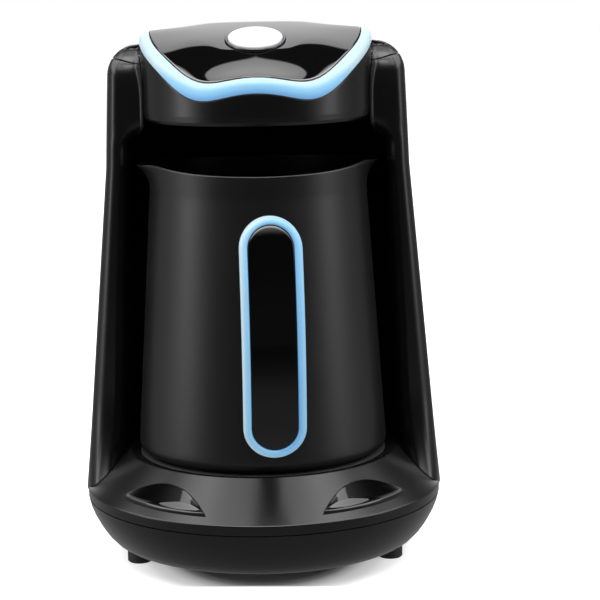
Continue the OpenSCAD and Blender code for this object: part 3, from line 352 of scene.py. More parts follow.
sky_blue = blue_with_painted_shading()
rubber = finish("black_rubber", (0.009, 0.009, 0.009), 0.7, grain=0.3, grain_size=600.0)
steel = finish("brushed_steel", (0.55, 0.55, 0.57), 0.3, grain=0.1, Metallic=1.0)
alloy = finish("cast_alloy", (0.62, 0.62, 0.64), 0.42, grain=0.2, grain_size=500.0, Metallic=1.0)
board_green = finish("board_green", (0.02, 0.12, 0.05), 0.35, grain=0.1)
relay_blue = finish("relay_blue", (0.05, 0.2, 0.45), 0.4, vary=0.04)


# Rules of the shape
def slope_z(r):
    """Height of the base's slope at a distance r from the axis."""
    return mix(RECESS_Z, RIM_Z, (r - RECESS_R) / (RIM_R - RECESS_R))


def panel_z(y):
    """Height of the top panel along its middle: the distance in front of the crest to the power 1.5, and
    the square of the distance behind it, are taken off the crest's height."""
    ahead = np.maximum(CREST_Y - y, 0.0)
    behind = np.maximum(y - CREST_Y, 0.0)
    return CREST_Z - 0.0403 * ahead ** 1.5 - 0.0048 * behind ** 2


def band_climb(t):
    """The band's rise from the front, one less the cosine, held level from the sides to the back."""
    return soft_min(1 - np.cos(t), 1.0, 0.05)


def band_dip(t):
    """Two dips in the front of the band: the sum of a bell curve 31 degrees to each side."""
    turn = np.degrees((t + np.pi) % (2 * np.pi) - np.pi)
    return 7.6 * (np.exp(-((turn - 31.0) / 20.0) ** 2) + np.exp(-((turn + 31.0) / 20.0) ** 2))


def band_low(t):
    """The lower edge follows the whole rise and the whole of the dips."""
    return BAND_LOW_Z + 22.9 * band_climb(t) - band_dip(t)


def band_high(t):
    """The upper edge follows four fifths of the dips."""
    return BAND_HIGH_Z + 19.4 * band_climb(t) - 0.8 * band_dip(t)


def panel_point_z(r, t):
    """The panel keeps its middle form and bends to the band's upper edge with the fourth power of the
    radius."""
    edge = band_high(t) - 0.15 - panel_z(-BAND_INNER_R * np.cos(t))
    return panel_z(-r * np.cos(t)) + edge * (r / BAND_INNER_R) ** 4


def panel_dish(r, t):
    """The front of the panel is dished a little: a hump between the rim and 21 to 25 mm inside it, deepest
    at the front corners and gone at the sides."""
    turn = np.abs(np.degrees((t + np.pi) % (2 * np.pi) - np.pi))
    depth = mix(1.2, 1.6, np.clip(turn / 30, 0, 1)) * (1 - ease((turn - 30) / 35))
    u = np.clip((PANEL_RIM_R - r) / mix(25.0, 21.0, np.clip(turn / 32, 0, 1)), 0, 1)
    return depth * 8 * (u * (1 - u)) ** 1.5


def shoulder_drop(z):
    """How far the outline draws in over the shoulder's quarter circle."""
    u = np.clip(z - SHOULDER_Z, 0.0, SHOULDER_R)
    return SHOULDER_R - np.sqrt(SHOULDER_R ** 2 - u ** 2)


def side_w(z):
    """Half width of the body: two straight tapers and a quarter circle over the shoulders."""
    low = mix(WING_W, WAIST_W, (z - RIM_Z) / (WAIST_Z - RIM_Z))
    high = mix(WAIST_W, SHOULDER_W, np.clip((z - WAIST_Z) / (SHOULDER_Z - WAIST_Z), 0, 1))
    return np.where(z < WAIST_Z, low, high) - shoulder_drop(z)


def rear_d(z):
    """Depth of the body behind the axis: one straight taper and the quarter circle."""
    u = np.clip((z - RIM_Z) / (SHOULDER_Z - RIM_Z), 0, 1)
    return mix(BODY_DEPTH, SHOULDER_DEPTH, u) - shoulder_drop(z)


def neck(z):
    """0 below the bay's neck and 1 from the head's lower edge up."""
    return ease((z - BAY_NECK_Z) / (HEAD_Z - BAY_NECK_Z))


def bay_r(z):
    """Radius of the bay: a straight taper that runs into the head's radius over the neck."""
    low = mix(BAY_LOW_R, BAY_NECK_R, (z - RECESS_Z) / (BAY_NECK_Z - RECESS_Z))
    return np.where(z < BAY_NECK_Z, low, mix(BAY_NECK_R, HEAD_R + SEAM, neck(z)))


def foot_in(z):
    """How far a height is into the wings' foot: 1 at the rim, falling to 0 as a square."""
    return (1 - np.clip((z - RIM_Z) / FOOT_FADE, 0.0, 1.0)) ** 2


def wing_xy(p, z, inset):
    """Plan of the right wing. Below 0, -p is an angle round the nose: half an ellipse at the bay, fuller and
    further forward at its foot, blending into a web that meets the head. Above 0, p is an angle round the
    back of a half ellipse."""
    phi = np.radians(np.maximum(-p, 0.0))
    w = side_w(z) - inset
    f = foot_in(z)
    lean = NOSE_LEAN * np.clip((z - 226) / 14, 0, 1) ** 2
    b = np.maximum(1.0, NOSE_REACH + FOOT_REACH * f - 0.9 * shoulder_drop(z) - lean - inset)
    rin = bay_r(z) + inset
    fill = np.where(phi < np.pi / 2, mix(1.0, 0.62, f), 1.0)
    cos, sin = np.cos(phi), np.maximum(np.sin(phi), 0.0)
    round_y = NOSE_Y - b * sin ** fill
    trim = f * np.minimum(round_y, 0.0) ** 2 / (4 * w) * (1 + cos)
    round_x = (w + rin) / 2 + (w - rin) / 2 * np.sign(cos) * np.abs(cos) ** fill - trim
    corner = NOSE_ROUND - inset
    web = np.radians(WEB_ANGLE) * (1 - ease((z - 230) / 20))
    end_r = HEAD_R + SEAM
    end_y = inset - end_r * np.sin(web)
    end_x = np.sqrt(end_r ** 2 - end_y ** 2)
    s = (np.degrees(phi) - 90) / 90
    web_x = np.where(s <= 0, w - corner + corner * cos, mix(w - corner, end_x, s))
    steep = mix(20.0, 6.0, ease((z - 222) / 22))
    web_y = np.where(s <= 0, NOSE_Y - b * sin, mix(NOSE_Y - b, end_y, np.maximum(s, 0.0) ** steep))
    nose_x = mix(round_x, web_x, neck(z))
    nose_y = mix(round_y, web_y, neck(z))
    psi = np.radians(np.maximum(p, 0.0))
    side_x = w * np.cos(psi)
    side_y = NOSE_Y + (rear_d(z) - inset - NOSE_Y) * np.sin(psi)
    return np.where(p < 0, nose_x, side_x), np.where(p < 0, nose_y, side_y)


def seam_z(p):
    """The seam under the top cover climbs from the nose's inner end and from the back towards the sides."""
    return CAP_SEAM_Z + SEAM_RISE * ease(np.where(p < 0, (p + 180) / 150, 1 - np.minimum(p, 180 - p) / 90))


def wing_foot_z(p, inset):
    """The shell stands on the slope: five rounds of putting the plan's radius into the slope's height,
    with the longer back taken off behind the axis."""
    z = np.full_like(p, RIM_Z)
    for _ in range(5):
        x, y = wing_xy(p, z, inset)
        z = slope_z(np.hypot(x, np.where(y > 0, y * BASE_R / REAR_DEPTH, y)))
    reach = np.hypot(x, np.where(y > 0, y * BASE_R / REAR_DEPTH, y))
    return z + SEAM - (1.7 * ease((reach - BASE_R + 1.4) / 1.6) if inset == 0.0 else 0.0)


# Base
def stretch_cover(r):
    """The cover is round near the pot and takes the base's longer back towards its rim."""
    return mix(1.0, REAR_DEPTH / BASE_R, np.clip((r - COVER_ROUND_R) / (BASE_R - COVER_ROUND_R), 0, 1))


def ring(profile, stretch, turns=240):
    """A closed profile of (radius, height) carried round the axis; behind the axis y is stretched."""
    t = np.linspace(0, 2 * np.pi, turns, endpoint=False)[:, None]
    r, z = profile[None, :, 0], profile[None, :, 1]
    x = r * np.cos(t)
    y = r * np.sin(t)
    y = np.where(y > 0, y * stretch(r), y)
    return np.stack([x, y, np.broadcast_to(z, x.shape)], -1)


cover_line = fillet_line(
    [(BASE_R - WALL, PARTING_Z + SEAM), (BASE_R, PARTING_Z + SEAM), (BASE_R, RIM_Z - 1.0), (RIM_R, RIM_Z),
     (RECESS_R, RECESS_Z), (RECESS_R - 0.5, 51.3), (SEAT_HOLE_R, 51.3), (SEAT_HOLE_R, 48.9),
     (64.2, 48.9), (74.2, 41.1), (BASE_R - WALL, 32.3), (BASE_R - WALL, PARTING_Z + SEAM)],
    [0.5, 0.9, 1.1, 0.6, 0.25, 0.4, 0.4, 0.5, 2.0, 0.5], arc=7, step=3.0)
make_piece("base_cover_moulding", grid_arrays(ring(cover_line, stretch_cover), True, True), body_grey,
           "machine", ["base_cover"])
smoothed_node("base_tray_moulding", "base_tray", body_grey, "machine")


def leaf_pad(side):
    """A pad between two tips on the slope. s runs from tip to tip and w from the front edge to the back
    arc; the front stands up from the slope as a small wall, the top falls towards the back, a facet leans
    forward along the front and grows towards the inner tip, and the edges are eased by quarter circles."""
    s = (1 - np.cos(np.linspace(0, np.pi, 121))) / 2
    w = close_steps(0.0, PAD_W, 22, fine=(0.0, 0.03, 0.1, 0.2, 0.32, 0.45, 0.65, 0.9)) / PAD_W
    a = np.radians(mix(19.0, 55.0, s))[:, None]
    arch = (4 * s * (1 - s))[:, None] ** 0.85
    front = RIM_R - 2.2 - 1.1 * s[:, None] ** 2
    width = PAD_W * arch
    r = front - width * w[None, :]
    inside = np.minimum(w[None, :], 1 - w[None, :]) * width
    lift = mix(2.1, 0.85, w[None, :])
    hollow = 0.22 * ease(inside / 1.6) * (1 - w[None, :])
    facet = 0.18 * width * np.maximum(mix(0.6, -0.25, s[:, None]) - w[None, :], 0)
    top = slope_z(r) + lift - hollow - facet - edge_round(inside, 0.4)
    x, y = side * r * np.sin(a), -r * np.cos(a)
    upper = np.stack([x, y, top], -1)
    lower = np.stack([x, y, slope_z(r) + 0.16], -1)
    return shell_arrays(upper, lower)


for side, word in ((1, "right"), (-1, "left")):
    make_piece(f"leaf_pad_{word}_gloss", leaf_pad(side), gloss_black, "machine", [f"leaf_pad_{word}"])


# Body
def nose_path():
    """The path round a nose, from its inner end to its outer side."""
    return -np.concatenate([np.linspace(180, 150, 25), np.linspace(150, 90, 21)[1:],
                            np.linspace(90, 0, 25)[1:]])


def wing_skin(side):
    """Outer and inner faces of a wing over its path and height, its borders eased by a quarter circle."""
    back = REAR_SPLIT - close_steps(0.0, REAR_SPLIT, 20, fine=(0.0, 0.03, 0.1, 0.2, 0.32, 0.46, 0.8))[::-1]
    p = np.concatenate([nose_path(), back[1:]])[:, None]
    p = np.minimum(p, REAR_SPLIT - 0.1)
    v = close_steps(0.0, WING_ROWS, 110)[None, :] / WING_ROWS
    faces = []
    for inset in (0.0, WALL):
        foot, top = wing_foot_z(p, inset), seam_z(p)
        z = mix(foot, top, v)
        gap = np.minimum(z - foot, top - z)
        split = (REAR_SPLIT - 0.1 - p) * REAR_SPLIT_MM
        eased = edge_round(gap, 0.25) + edge_round(split, 0.45) if inset == 0.0 else 0.0
        x, y = wing_xy(p, z, inset + eased)
        faces.append(np.stack([side * x, y, z], -1))
    return shell_arrays(*faces)


for side, word in ((1, "right"), (-1, "left")):
    make_piece(f"{word}_wing_shell", wing_skin(side), body_grey, "machine", [f"{word}_wing"])
smoothed_node("rear_cover_shell", "rear_cover", body_grey, "machine")


def top_cover_skin():
    """The shoulders: from the seam the outline goes over a quarter circle to a shelf round the head.
    p runs from the right nose round the back to the left nose."""
    half = np.concatenate([nose_path(), np.linspace(0, 90, 46)[1:]])
    low = seam_z(half[:, None]) + SEAM
    start = np.arcsin((low - SHOULDER_Z) / SHOULDER_R)
    close = start + np.array([0, 0.003, 0.008, 0.015, 0.024, 0.036])
    a = np.concatenate([close, mix(start + 0.06, math.radians(80), np.linspace(0, 1, 22))], 1)
    z = SHOULDER_Z + SHOULDER_R * np.sin(a)
    x, y = wing_xy(half[:, None], z, edge_round(z - low, 0.25))
    ring_r = HEAD_R + 0.35
    size = np.hypot(x[:, -1], y[:, -1])
    hx, hy = x[:, -1] / size * ring_r, y[:, -1] / size * ring_r
    q = np.linspace(0, 1, 9)[1:]
    x = np.concatenate([x, mix(x[:, -1:], hx[:, None], q)], 1)
    y = np.concatenate([y, mix(y[:, -1:], hy[:, None], q)], 1)
    shelf = SHOULDER_Z + SHOULDER_R + 0.1
    z = np.concatenate([z, mix(z[:, -1:], shelf, ease(q))], 1)
    outer = np.stack([x, y, z], -1)
    ix, iy = wing_xy(half[:, None], low, WALL)
    b = np.linspace(0, np.pi / 2, outer.shape[1])[None, :]
    inner = np.stack([mix(hx[:, None], ix, np.cos(b)), mix(hy[:, None], iy, np.cos(b)),
                      mix(low, shelf - WALL, np.sin(b))], -1)
    turn = np.array([-1.0, 1.0, 1.0])
    outer = np.concatenate([outer, outer[-2::-1] * turn])
    inner = np.concatenate([inner, inner[-2::-1] * turn])
    return shell_arrays(outer, inner)


make_piece("top_cover_shell", top_cover_skin(), body_grey, "machine", ["top_cover"])


# Head
def head_ring(profile_of, turns=360):
    """A closed profile that changes with the angle t from the front, carried round the axis."""
    t = np.linspace(-np.pi, np.pi, turns, endpoint=False)[:, None]
    r, z = profile_of(t)
    return np.stack([r * np.sin(t), -r * np.cos(t), z], -1)


def drum_profile(t):
    """The drum's wall: an upright face with a bevel under it; above the bevel the heights stretch up to
    the wavy upper edge."""
    start = HEAD_Z + 4.2
    line = fillet_line([(HEAD_IN_R, HEAD_Z), (HEAD_R - 1.6, HEAD_Z), (HEAD_R - 0.4, HEAD_Z + 1.6),
                        (HEAD_R, start), (HEAD_R, DRUM_FLAT_Z)], [0.5, 0.9, 3.0], arc=6, step=1.5)
    rise = np.clip((line[:, 1] - start) / (DRUM_FLAT_Z - start), 0, 1)
    r = np.concatenate([line[:, 0], [HEAD_R - 0.12, HEAD_R - 0.4, HEAD_IN_R, HEAD_IN_R]])[None, :]
    top = band_low(t)
    z_up = line[None, :, 1] + (top - 0.35 - DRUM_FLAT_Z) * rise[None, :]
    z = np.concatenate([z_up, top - 0.12, top, top, np.full_like(top, HEAD_Z + 1.0)], 1)
    return np.broadcast_to(r, z.shape), z


make_piece("head_drum_shell", grid_arrays(head_ring(drum_profile), True, True), body_grey, "machine",
           ["head_drum"])


def band_profile(t):
    """The band: a rounded face between its lower outer and upper inner edge, the radius a cosine and the
    height a sine, each to the power 0.8."""
    u = np.radians(np.linspace(0, 90, 33))[None, :]
    low, high = band_low(t) + 0.15, band_high(t) + 0.15
    r = mix(BAND_INNER_R, HEAD_R + 0.1, np.cos(u) ** 0.8)
    z = mix(low, high - 0.7, np.sin(u) ** 0.8)
    r = np.concatenate([np.full_like(t, HEAD_R - 0.3), r + 0 * t, np.full_like(t, BAND_INNER_R),
                        np.full_like(t, BAND_SEAT_R)], 1)
    z = np.concatenate([low, z, high - 2.4, low], 1)
    return r, z


def band_painted_shading(turns=360):
    """Painted light and shade for the band: painted shade deepens the lower edge, a painted highlight makes
    the upper edge nearly white, and painted light whitens the arms at the sides all over.
    """
    t = np.degrees(np.linspace(-np.pi, np.pi, turns, endpoint=False))[:, None]
    across = np.concatenate([[0.0], np.sin(np.radians(np.linspace(0, 90, 33))) ** 0.8, [1.0, 0.0]])[None, :]
    arm = ease((np.abs(t) - 34.0) / 26.0)
    return np.clip(mix(0.08 + 0.95 * across, 0.9 + 0.1 * across, arm), 0, 1)


make_piece("head_band_trim", grid_arrays(head_ring(band_profile), True, True), sky_blue, "machine",
           ["head_band"], sharp=50, painted_shading=band_painted_shading())


def panel_skin():
    """The panel between the bezel's hole and the band: s runs from the hole to the rim, t round both."""
    t = np.linspace(-np.pi, np.pi, 361)[:-1][:, None]
    c = math.cos(BUTTON_TILT)
    hole = BEZEL_R + 0.15
    s = close_steps(0.0, PANEL_ROWS, 40)[None, :] / PANEL_ROWS
    x = mix(hole * np.sin(t), PANEL_RIM_R * np.sin(t), s)
    y = mix(-BUTTON_Y - hole * np.cos(t) * c, -PANEL_RIM_R * np.cos(t), s)
    r, a = np.hypot(x, y), np.arctan2(x, -y)
    near = np.minimum(s, 1 - s) * PANEL_ROWS
    z = panel_point_z(r, a) - panel_dish(r, a) - edge_round(near, 0.5)
    upper = np.stack([x, y, z], -1)
    lower = upper - np.array([0, 0, PANEL_T])
    return shell_arrays(upper, lower, wrap=True)


make_piece("top_panel_gloss", panel_skin(), panel_black, "machine", ["top_panel"])


def at_button(v):
    """Turns and carries points from the button's own axes to the machine's."""
    c, s = math.cos(BUTTON_TILT), math.sin(BUTTON_TILT)
    x, y, z = v[:, 0], v[:, 1], v[:, 2]
    return np.stack([x, y * c - z * s - BUTTON_Y, y * s + z * c + panel_z(np.array(-BUTTON_Y))], -1)


def turned(profile, turns=128):
    """A closed profile of (radius, height) turned round an upright axis."""
    t = np.linspace(0, 2 * np.pi, turns, endpoint=False)[:, None]
    r, z = profile[None, :, 0], profile[None, :, 1]
    return np.stack([r * np.cos(t), r * np.sin(t), np.broadcast_to(z, (turns, profile.shape[0]))], -1)


bezel_in = BUTTON_R + 0.3
bezel_line = fillet_line([(bezel_in, -2.6), (BEZEL_R, -2.6), (BEZEL_R, 0.38), (bezel_in, 0.38),
                          (bezel_in, -2.6)], [0.1, 0.24, 0.24], arc=6, step=1.0)
make_piece("button_bezel_ring", moved(grid_arrays(turned(bezel_line), True, True), at_button), bezel_grey,
           "machine", ["button_bezel"])
dome = np.array([[BUTTON_R * k, 1.75 - 0.3 * k * k] for k in np.linspace(0, 0.94, 14)])
cap_line = np.concatenate([
    [[0.0, -7.35], [3.0, -7.35], [3.0, -4.0], [BEZEL_R, -4.0], [BEZEL_R, -2.8], [BUTTON_R, -2.8],
     [BUTTON_R, -1.2], [BUTTON_R, 0.0]],
    [[BUTTON_R - 0.8 + 0.8 * math.cos(k), 0.65 + 0.8 * math.sin(k)] for k in np.linspace(0.0, 1.3, 10)],
    dome[::-1]])
make_piece("button_cap_white", moved(grid_arrays(turned(cap_line), True, False), at_button), cap_white,
           "button", ["button_cap"])


# Pot
def in_pot(v):
    """Turns points about the axis by the pot's own angle."""
    c, s = math.cos(POT_TURN), math.sin(POT_TURN)
    return np.stack([v[:, 0] * c - v[:, 1] * s, v[:, 0] * s + v[:, 1] * c, v[:, 2]], -1)


def pot_r(z):
    """Outer radius of the pot: a straight taper up to the neck and a slight widening to the rim."""
    low = mix(POT_LOW_R, POT_NECK_R, (z - POT_Z - POT_ROUND) / (POT_NECK_Z - POT_Z - POT_ROUND))
    return np.where(z < POT_NECK_Z, low, POT_NECK_R + 0.3 * (z - POT_NECK_Z) / (RIM_TOP_Z - POT_NECK_Z))


def spout(t):
    """1 at either side of the pot and falling off round it as a bell curve."""
    turn = np.abs((t + np.pi) % (2 * np.pi) - np.pi)
    return np.exp(-((90 - np.degrees(turn)) / 13.0) ** 2)


def flare(z):
    """0 at the neck and 1 at the rim, as a cube."""
    return np.clip((z - POT_NECK_Z) / (RIM_TOP_Z - POT_NECK_Z), 0, 1) ** 3


def rim_lift(t):
    """The rim sweeps up towards both sides as a wide bell curve, less a narrow one for each spout's lip."""
    turn = np.abs((t + np.pi) % (2 * np.pi) - np.pi)
    return 3.6 * np.exp(-((90 - np.degrees(turn)) / 45.0) ** 2) - 1.9 * spout(t)


def jacket_profile(t):
    """The jacket's wall: a rounded foot, a straight taper, the spouts' flare and a rounded rim."""
    foot = np.radians(np.linspace(0, 90, 14))
    r0 = [np.array([POT_HOLE_R]), POT_LOW_R - POT_ROUND + POT_ROUND * np.sin(foot)]
    z0 = [np.array([POT_Z]), POT_Z + POT_ROUND - POT_ROUND * np.cos(foot)]
    up = np.concatenate([np.linspace(POT_Z + POT_ROUND, POT_NECK_Z, 40)[1:],
                         np.linspace(POT_NECK_Z, RIM_TOP_Z - 0.6, 22)[1:]])
    r0.append(pot_r(up))
    z0.append(up)
    lip = np.radians(np.linspace(0, 180, 13))
    r0.append(pot_r(np.array(RIM_TOP_Z)) - 0.8 + 0.8 * np.cos(lip))
    z0.append(RIM_TOP_Z - 0.6 + 0.6 * np.sin(lip))
    down = up[::-1][1:]
    r0.append(pot_r(down) - np.where(down > POT_NECK_Z, 1.6, 2.2))
    z0.append(down)
    r0.append(POT_LOW_R - POT_ROUND + (POT_ROUND - 2.2) * np.sin(foot[::-1]))
    z0.append(POT_Z + POT_ROUND - (POT_ROUND - 2.2) * np.cos(foot[::-1]))
    r0.append(np.array([POT_HOLE_R]))
    z0.append(np.array([POT_Z + 2.2]))
    r0, z0 = np.concatenate(r0)[None, :], np.concatenate(z0)[None, :]
    r = r0 + SPOUT_REACH * spout(t) * flare(z0)
    z = z0 + rim_lift(t) * flare(z0)
    return r, z


make_piece("pot_jacket_wall", moved(grid_arrays(head_ring(jacket_profile), True, True), in_pot), pot_grey,
           "pot", ["pot_jacket"])


# Handle
def bend_y(z, depth):
    """Depth behind the handle's front face, bent to a circle about an axis behind it."""
    return HANDLE_BEND - HANDLE_REACH - np.sqrt((HANDLE_BEND - depth) ** 2 - (z - HANDLE_PLUMB) ** 2)


def stadium_rows(inset, depth, rounds=36, straights=40):
    """Rows round a stadium outline drawn in by inset, at the given depths; both hold one value a row."""
    top, bottom = HANDLE_TOP - HANDLE_W / 2, HANDLE_LOW + HANDLE_W / 2
    a = np.linspace(0, np.pi, rounds)
    side = np.linspace(0, 1, straights)[1:-1]
    mid_z = np.concatenate([np.full(rounds, top), mix(top, bottom, side),
                            np.full(rounds, bottom), mix(bottom, top, side)])
    dx = np.concatenate([np.cos(a), np.full(len(side), -1.0), -np.cos(a), np.full(len(side), 1.0)])
    dz = np.concatenate([np.sin(a), np.zeros(len(side)), -np.sin(a), np.zeros(len(side))])
    rho = HANDLE_W / 2 - np.asarray(inset, float)[:, None]
    x = rho * dx[None, :]
    z = mid_z[None, :] + rho * dz[None, :]
    return np.stack([x, bend_y(z, np.asarray(depth, float)[:, None]), z], -1)


def rounded_steps(first, last, radius, n=7):
    """Insets and depths of an edge: a quarter circle between the face at depth first and the side that
    runs to depth last."""
    a = np.linspace(0, np.pi / 2, n)
    return radius * (1 - np.sin(a)), first + np.sign(last - first) * radius * (1 - np.cos(a))


full = HANDLE_W / 2
front_in, front_d = rounded_steps(TRIM_T + 0.1, HANDLE_T, 0.6)
back_in, back_d = rounded_steps(HANDLE_T, TRIM_T, 3.4, 12)
inset = np.concatenate([[full, full * 0.6, full * 0.3, 1.2, 0.8], front_in, back_in[::-1],
                        [3.9, 4.6, full * 0.5, full]])
depth = np.concatenate([np.full(5, TRIM_T + 0.1), front_d, back_d[::-1], np.full(4, HANDLE_T)])
grip = grid_arrays(stadium_rows(inset, depth), False, True)


def bridge(z_mid):
    """A bar from the grip to the pot: a superellipse section whose ends follow the grip and the jacket."""
    a = np.linspace(0, 2 * np.pi, 64, endpoint=False)[None, :]
    k = np.concatenate([[0.0], np.linspace(0, 1, 12), [1.0]])[:, None]
    size = np.concatenate([[0.0], np.ones(12), [0.0]])[:, None]
    x = size * 7.5 * np.sign(np.cos(a)) * np.abs(np.cos(a)) ** 0.5
    z = z_mid + size * 6.5 * np.sign(np.sin(a)) * np.abs(np.sin(a)) ** 0.5
    start = bend_y(z, HANDLE_T / 2)
    end = -np.sqrt((pot_r(z) + 0.15) ** 2 - x ** 2)
    return grid_arrays(np.stack([x, mix(start, end, k), z], -1), False, True)


make_piece("handle_grip_shell", moved(joined(grip, bridge(84.0), bridge(160.0)), in_pot), body_grey, "pot",
           ["handle_shell"])
a = np.linspace(0, np.pi / 2, 9)
ring_in = np.concatenate([[0.0], 1.7 * (1 - np.cos(a)), TRIM_W - 1.4 * (1 - np.sin(a)), [TRIM_W]])
ring_d = np.concatenate([[TRIM_T], 1.7 * (1 - np.sin(a)), 1.4 * (1 - np.cos(a)), [TRIM_T]])
v, f = grid_arrays(stadium_rows(ring_in, ring_d), True, True)
# Painted light and shade on the trim ring: lighter towards its outer edge, with a stronger painted highlight
# on the left side and towards the top.
high = (v[:, 2] - HANDLE_LOW) / (HANDLE_TOP - HANDLE_LOW)
across = np.repeat(ring_in / TRIM_W, len(v) // len(ring_in))
sideways = np.sign(v[:, 0]) * np.minimum(1.0, np.abs(v[:, 0]) / 6)
shade = np.clip(0.86 - 0.62 * across - 0.12 * sideways + 0.12 * (high - 0.5), 0, 1)
make_piece("handle_trim_ring", (in_pot(v), f), sky_blue, "pot", ["handle_trim"], sharp=60,
           painted_shading=shade)
edge = TRIM_W + 0.15
inset = [full, full * 0.8, full * 0.55, edge + 1.2, edge + 0.6, edge + 0.25, edge + 0.08, edge, edge, full]
depth = [0.62, 0.64, 0.7, 0.8, 0.84, 0.9, 1.0, 1.25, TRIM_T - 0.05, TRIM_T - 0.05]
make_piece("handle_inlay_gloss", moved(grid_arrays(stadium_rows(inset, depth), False, True), in_pot),
           gloss_black, "pot", ["handle_inlay"])

# Finishes of the pieces kept as they are
kept = (
    (rubber, "rubber_feet centre_foot cord_gland seat_seal wire_loom"),
    (alloy, "temperature_sensor"),
    (steel, "heating_element heater_studs heat_shield sensor_spring button_spring base_screws"),
    (steel, "power_board_screws rear_screws control_board_screws handle_screws"),
    (matt_black, "heater_plate sensor_holder capacitors bay_liner head_floor switch_body buzzer"),
    (matt_black, "pot_cup pot_base"),
    (gloss_black, "power_supply sensor_window"),
    (cap_white, "thermal_fuse button_lamps switch_plunger"),
    (board_green, "power_board mains_terminal foam_sensor control_board"),
    (relay_blue, "relay"),
)
for material, names in kept:
    for node in names.split():
        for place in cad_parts[node].material_slots:
            place.material = material


# Studio
AMBIENT = 0.25
BACKDROP_TOP = 0.87
SIDE_GLOW = [(-1.0, 0.02), (-0.78, 0.04), (-0.6, 0.15), (-0.42, 0.8), (-0.3, 1.0), (-0.12, 0.72), (0.1, 0.33),
             (0.4, 0.14), (1.0, 0.12)]
SIDE_POWER = 2.2
# Brightness of the floor to gloss by distance from the machine: low close under it, a painted shadow.
NEAR_GLOW = [(0.025, 0.12), (0.05, 0.42), (0.1, 0.46), (0.18, 0.34), (0.53, 0.09), (1.0, 0.03)]
NEAR_SCALE = 0.667
FLOOR_WHITE = [(0.044, 0.0), (0.056, 0.45), (0.066, 0.72), (0.08, 0.94), (0.1, 1.0)]
FLOOR_OVAL = 0.7
FLOOR_TURN = 0.056
FLOOR_FRONT = (-0.0665, -0.07)


class Graph:
    """Short calls for the number nodes of one material or world."""

    def __init__(self, tree):
        self.nodes, self.links = tree.nodes, tree.links

    def math(self, operation, *values):
        node = self.nodes.new("ShaderNodeMath")
        node.operation = operation
        for k, value in enumerate(values):
            if isinstance(value, (int, float)):
                node.inputs[k].default_value = value
            else:
                self.links.new(value, node.inputs[k])
        return node.outputs["Value"]

    def span(self, value, low, high, start=0.0, end=1.0):
        """A smooth step from start at low to end at high."""
        node = self.nodes.new("ShaderNodeMapRange")
        node.interpolation_type = "SMOOTHSTEP"
        for key, number in (("From Min", low), ("From Max", high), ("To Min", start), ("To Max", end)):
            node.inputs[key].default_value = number
        self.links.new(value, node.inputs["Value"])
        return node.outputs["Result"]

    def stops(self, value, points):
        """A curve through (place, level) points, with places from 0 to 1."""
        node = self.nodes.new("ShaderNodeValToRGB")
        node.color_ramp.interpolation = "EASE"
        ends = node.color_ramp.elements
        ends[0].position, ends[1].position = points[0][0], points[-1][0]
        for place, _ in points[1:-1]:
            ends.new(place)
        for stop, (place, level) in zip(ends, points):
            stop.color = (level, level, level, 1)
        self.links.new(value, node.inputs["Fac"])
        return node.outputs["Color"]

    def side_glow(self, x, y):
        """The two side lamps as gloss sees them near the horizon: brightest a little ahead of the sides,
        and stronger on the left."""
        along = self.math("MULTIPLY_ADD", y, 0.5, 0.5)
        curve = self.stops(along, [((place + 1) / 2, level) for place, level in SIDE_GLOW])
        curve = self.math("MULTIPLY", curve, SIDE_POWER)
        return self.math("MULTIPLY", curve, self.span(x, -0.3, 0.3, 1.0, 0.75))

    def distance(self, x, y):
        """The root of x squared and y squared."""
        return self.math("SQRT", self.math("ADD", self.math("MULTIPLY", x, x), self.math("MULTIPLY", y, y)))

    def ray(self, name):
        """1 for rays of the named kind, otherwise 0."""
        return self.nodes.new("ShaderNodeLightPath").outputs[name]


